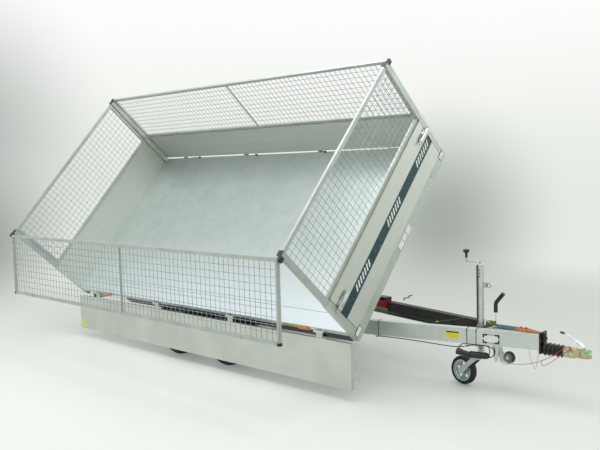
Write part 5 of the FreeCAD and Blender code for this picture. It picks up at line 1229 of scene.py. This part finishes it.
for board, face, way in (("front", BED_FRONT + 3 * MM, FORE), ("rear", BED_REAR - 3 * MM, AFT)):
    fasteners(f"{board}_latch_rivets", f"{board}_board", 3.5, 3, [
        ((face, side * (LATCH_END - inset), LATCH_Z + dz), way)
        for side in SIDES for inset in (0.006, 0.062, 0.108) for dz in (-0.012, 0.012)], RIVET)
fasteners("rear_strap_bolts", "rear_board", 6, 5, [
    ((BED_REAR - 4 * MM, y + dy, FLOOR_Z + dz), AFT)
    for y in (-0.640, 0.0, 0.640) for dy in (-0.018, 0.018) for dz in (0.020, 0.052)])
fasteners("front_band_bolts", "bed", 6, 5, [
    ((BED_FRONT, -HALF_WIDTH + across, FLOOR_Z - below), FORE) for across, below in (
        (0.265, 0.052), (1.425, 0.052), (1.490, 0.052), (0.330, 0.096), (1.425, 0.096))])
fasteners("rear_band_bolts", "bed", 6, 5, [
    ((BED_REAR, side * y, FLOOR_Z - 0.095), AFT) for y in (0.20, 0.45, 0.75) for side in SIDES])
fasteners("post_rivets", "bed", 4, 3, [
    ((x, side * (HALF_WIDTH - 0.025), FLOOR_Z + z), way)
    for x, way in ((BED_FRONT, FORE), (BED_REAR, AFT)) for side in SIDES for z in (0.262, 0.318)], RIVET)
fasteners("floor_rivets", "bed", 3.5, 2, [
    ((BED_REAR + 0.06 + i * 0.29, side * (HALF_WIDTH - 0.018), FLOOR_Z), UP)
    for side in SIDES for i in range(13)], RIVET)
print("bolts and rivets set")

# %% [markdown]
# ## Labels, ties and small rigging
# The right beam carries a blank plate in four black corner holders and a yellow label with a dark heading
# band. Cable ties hold the lead: each goes round the beam and under the strands at its place, so it is drawn
# as a strap round the outline of both.

# %% Labels on the right beam
BEAM_FACE = 30                                     # across the beam, in millimetres
CORNER_X, CORNER_Z = (-691, -575), (16, 82)        # the blank plate's holders, from corner to corner
BEAM_PLATES = [                    # name, from and to x, from and to height, thickness, finish; millimetres
    ("blank_plate", (-684, -582), (22, 76), 1.0, white_film)]
for kind, long, high, thickness in (("long", 31, 11, 2.4), ("tall", 10, 26, 2.2)):
    for i, (x, inward) in enumerate(zip(CORNER_X, (1, -1))):
        for j, (z, upward) in enumerate(zip(CORNER_Z, (1, -1))):
            BEAM_PLATES.append((f"plate_holder_{i}{j}_{kind}", sorted((x, x + inward * long)),
                                sorted((z, z + upward * high)), thickness, black_plastic))
BEAM_PLATES += [
    ("plate_rim_low", CORNER_X, (19, 22), 1.6, black_plastic),
    ("plate_rim_top", CORNER_X, (76, 79), 1.6, black_plastic),
    ("yellow_label", (-956, -860), (29, 83), 0.4, yellow_film),
    ("yellow_label_heading", (-954, -862), (71, 81), 0.6, black_plastic),
]
for name, x, z, thickness, material in BEAM_PLATES:
    build = bmesh.new()
    corners = [on_beam(x[i], BEAM_FACE, z[j]) for i, j in ((0, 0), (1, 0), (1, 1), (0, 1))]
    pushed(build, corners, on_beam(0, thickness, 0) - on_beam(0, 0, 0))
    piece(name, build, material, "chassis")
print(len(BEAM_PLATES), "plates and labels on the beam")

# %% Cable ties round the beam
TIES = ((-1480, -13), (-804, -25), (-738, -18))    # x and the height of the strands that it holds, mm
TIE_WIDTH, TIE_THICK = 4.8 * MM, 0.7 * MM
TIE_HEAD = Vector((3.5, 3.5, 4.5)) * MM            # half its size
for number, (x, low) in enumerate(TIES):
    around = ((31.2, 2), (31.2, 110), (29, 112.2), (-29, 112.2), (-31.2, 110), (-31.2, 2), (-24, low),
              (24, low))
    outline = [on_beam(x, across, height) for across, height in around]
    along = (on_beam(10, 0, 0) - on_beam(0, 0, 0)).normalized() * TIE_WIDTH / 2
    centre = sum(outline, Vector()) / len(outline)
    rings = []
    for point in outline:
        out = (point - centre).normalized() * TIE_THICK
        rings.append([point + along - out, point + along + out, point - along + out, point - along - out])
    build = bmesh.new()
    join_rings(build, rings)
    head = on_beam(x, 33, 96)
    block(build, head - TIE_HEAD, head + TIE_HEAD, 0.8 * MM)
    piece(f"cable_tie_{number}", build, black_plastic, "chassis")
print(len(TIES), "cable ties")

# %% [markdown]
# Under the beam hang the white return wire of the brake linkage, at the support leg's foot, and the V of
# spring wire that the breakaway cable runs through. On the hose cover lies a black S-hook.

# %% Wires and hooks
WHITE_WIRE = ((-586, -104), (-594, -124), (-578, -136), (-547, -141), (-516, -126), (-500, -112))
SPRING_WIRE = ((-374, 2), (-371, -38), (-352, -90), (-336, -131), (-327, -133), (-314, -79), (-306, -32),
               (-303, 2))
S_HOOK = ((-1793, 481), (-1797, 505), (-1820, 515), (-1838, 545), (-1815, 577), (-1822, 610), (-1846, 630),
          (-1866, 655), (-1850, 689))
wire("white_wire", [(x, -66, z) for x, z in WHITE_WIRE], 2.2, white_film, "chassis")
wire("spring_wire", [(x, -50, z) for x, z in SPRING_WIRE], 2.4, zinc_plate, "chassis")
wire("s_hook", [(x, y, 122) for x, y in S_HOOK], 5.0, black_enamel, "chassis")
print("white wire, spring wire and S-hook bent")

# %% [markdown]
# The lead's two turns are bound with black tape between the clamp and the support leg, which makes a dense
# bundle with a band at each end.

# %% Tape round the lead's turns
BUNDLE_START, BUNDLE_FLAT = (-810, 4, -84), 1.05   # on the beam, and how many times wider than high
BUNDLE = ((0.5, 0), (12, 1.5), (19, 10), (24, 24), (26, 27), (26, 32), (24.5, 35), (25.5, 80), (23, 128),
          (24.5, 131), (24.5, 136), (21, 148), (12, 162.5), (0.5, 164))  # radius, distance along
build = bmesh.new()
start = on_beam(*BUNDLE_START)
way = on_beam(BUNDLE_START[0] + 100, *BUNDLE_START[1:]) - start
lathe(build, [(r * BUNDLE_FLAT, at) for r, at in BUNDLE], start, way, 20)
for vertex in build.verts:
    vertex.co.z = start.z + (vertex.co.z - start.z) / BUNDLE_FLAT
piece("lead_tape", build, pvc_black, "chassis")
print("lead bound over", BUNDLE[-1][1], "mm")

# %% [markdown]
# ## Jockey mast
# The mast's plain tube is drawn anew: it gets the dark guide rod down its side, three windows near its top
# whose dark inside is painted shade on black blocks, a round-ended lug and a crank whose black knob is a T on
# a slender stem.

# %% Mast, crank and knob
MAST_R, MAST_BORE, MAST_FOOT, MAST_TOP = 24, 21.6, -99, 555              # in millimetres, as all sizes here
MAST_CAP = ((9, 553), (26, 553), (27, 556), (27, 562), (25, 565), (9, 565))
KNOB = ((0.4, 604), (9, 604), (10, 608), (9, 632), (13, 640), (21, 644), (24, 649), (24, 657), (20, 664),
        (9, 667), (0.4, 667))
CRANK_X, CRANK_Z, CRANK_TOP, CRANK_R = -889, 579, 619, 5.5
LUG_X, LUG_Z, LUG_R, LUG_HOLE, LUG_HALF = -706, 411, 21, 9, 3
GUIDE_R, GUIDE_FROM, GUIDE_TO = 5, 118, 552
WINDOWS_Z, WINDOW_SIZE = (520, 497, 474), (7, 22, 6)
WINDOW_WAY = Vector((0.73, -0.68, 0))              # level way that the mast's windows face
GUIDE_WAY = Vector((-0.865, -0.4895, 0)).normalized()          # level way from the mast to its guide rod
mast_x = JOCKEY_X / MM
mast = Vector((JOCKEY_X, 0, 0))


def tube(inner, outer, low, high):
    """Profile of a tube, for the lathe."""
    return (inner, low), (outer, low), (outer, high), (inner, high)


build = bmesh.new()
lathe(build, tube(MAST_BORE, MAST_R, MAST_FOOT, MAST_TOP), mast, UP, 40)
lathe(build, MAST_CAP, mast, UP, 32)
for start, end, radius, sides in (((mast_x, 0, 556), (mast_x, 0, 587), 9, 16),
                                  ((mast_x + 6, 0, CRANK_Z), (CRANK_X - 5, 0, CRANK_Z), CRANK_R, 12),
                                  ((CRANK_X, 0, CRANK_Z - 7), (CRANK_X, 0, CRANK_TOP), CRANK_R, 12)):
    rod(build, *millimetres((start, end)), radius * MM, sides)
lathe(build, tube(LUG_HOLE, LUG_R, -LUG_HALF, LUG_HALF), Vector((LUG_X, 0, LUG_Z)) * MM, SIDEWAYS, 32)
block(build, *millimetres(((mast_x + 22.5, -LUG_HALF, LUG_Z - 20), (LUG_X - 9.5, LUG_HALF, LUG_Z + 20))))
piece("jockey_mast_tube", build, zinc_plate, "chassis", ("jockey_mast",))
build = bmesh.new()
lathe(build, KNOB, Vector((CRANK_X * MM, 0, 0)), UP, 28)
piece("crank_knob", build, black_plastic, "chassis", ())
build = bmesh.new()
guide = mast + GUIDE_WAY * (MAST_R + 2) * MM
rod(build, guide + Vector((0, 0, GUIDE_FROM)) * MM, guide + Vector((0, 0, GUIDE_TO)) * MM, GUIDE_R * MM, 12)
face = mast + (WINDOW_WAY * 0.85 + GUIDE_WAY * 0.5).normalized() * (MAST_R - 3) * MM
# Painted shade: each window is a black block in the tube's wall.
for z in WINDOWS_Z:
    place = Matrix.LocRotScale(face + Vector((0, 0, z)) * MM, WINDOW_WAY.to_track_quat("X", "Z"),
                               Vector(WINDOW_SIZE) * MM)
    placed_cube(build, place, 1.2 * MM)
piece("mast_guide_and_window_shade", build, black_enamel, "chassis")
print("mast, crank and knob drawn anew")

# %% [markdown]
# A bright plate stiffens the support leg, and behind its hub turns the grooved wheel of the brake linkage.

# %% Leg plate and linkage wheel
LEG_PLATE = ((-640, 0), (-590, 0), (-594, -60), (-600, -112), (-616, -128), (-628, -108))
LINKAGE_GROOVE = ((12, -8), (36, -8), (42, -5), (37, 0), (42, 5), (36, 8), (12, 8))
build = bmesh.new()
pushed(build, millimetres([(x, -77, z) for x, z in LEG_PLATE]), (0, 4 * MM, 0))
piece("leg_plate", build, zinc_plate, "chassis")
build = bmesh.new()
lathe(build, LINKAGE_GROOVE, LEG_HUB + Vector((0, -46 * MM, 0)), SIDEWAYS, 36)
piece("linkage_wheel", build, grey_paint, "chassis")
print("leg plate and linkage wheel made")

# %% [markdown]
# A thin teal wire with a yellow sleeve crosses between the beams behind the mast, and a short black arm
# stands on the flange in front of the rubber bellows.

# %% Teal wire and black arm
TEAL_WIRE = ((-1108, -137, 115), (-1075, -75, 113), (-1040, 5, 116), (-1006, 80, 113), (-982, 129, 115))
YELLOW_SLEEVE = ((-1092, -107, 114.5), (-1083, -90, 114))
BLACK_ARM = ((-300, -22, 96), (-297, -22, 118), (-278, -26, 122), (-262, -30, 108), (-256, -33, 78),
             (-255, -34, 62))
wire("teal_wire", TEAL_WIRE, 2.2, teal_paint, "chassis")
build = bmesh.new()
rod(build, *millimetres(YELLOW_SLEEVE), 4 * MM, 12)
piece("yellow_sleeve", build, yellow_film, "chassis")
wire("black_arm", BLACK_ARM, 3.5, black_enamel, "chassis")
print("teal wire, its sleeve and the black arm made")

# %% [markdown]
# The handbrake's grip is a thick rubber sleeve with a soft bend, drawn over the lever's own.

# %% Handbrake grip
GRIP = ((-664, 21, 214), (-664, 21, 262), (-663, 21, 284), (-640, 21, 312), (-601, 21, 358))
wire("handbrake_grip", GRIP, 15, gaiter_rubber, "chassis")
print("handbrake grip made")
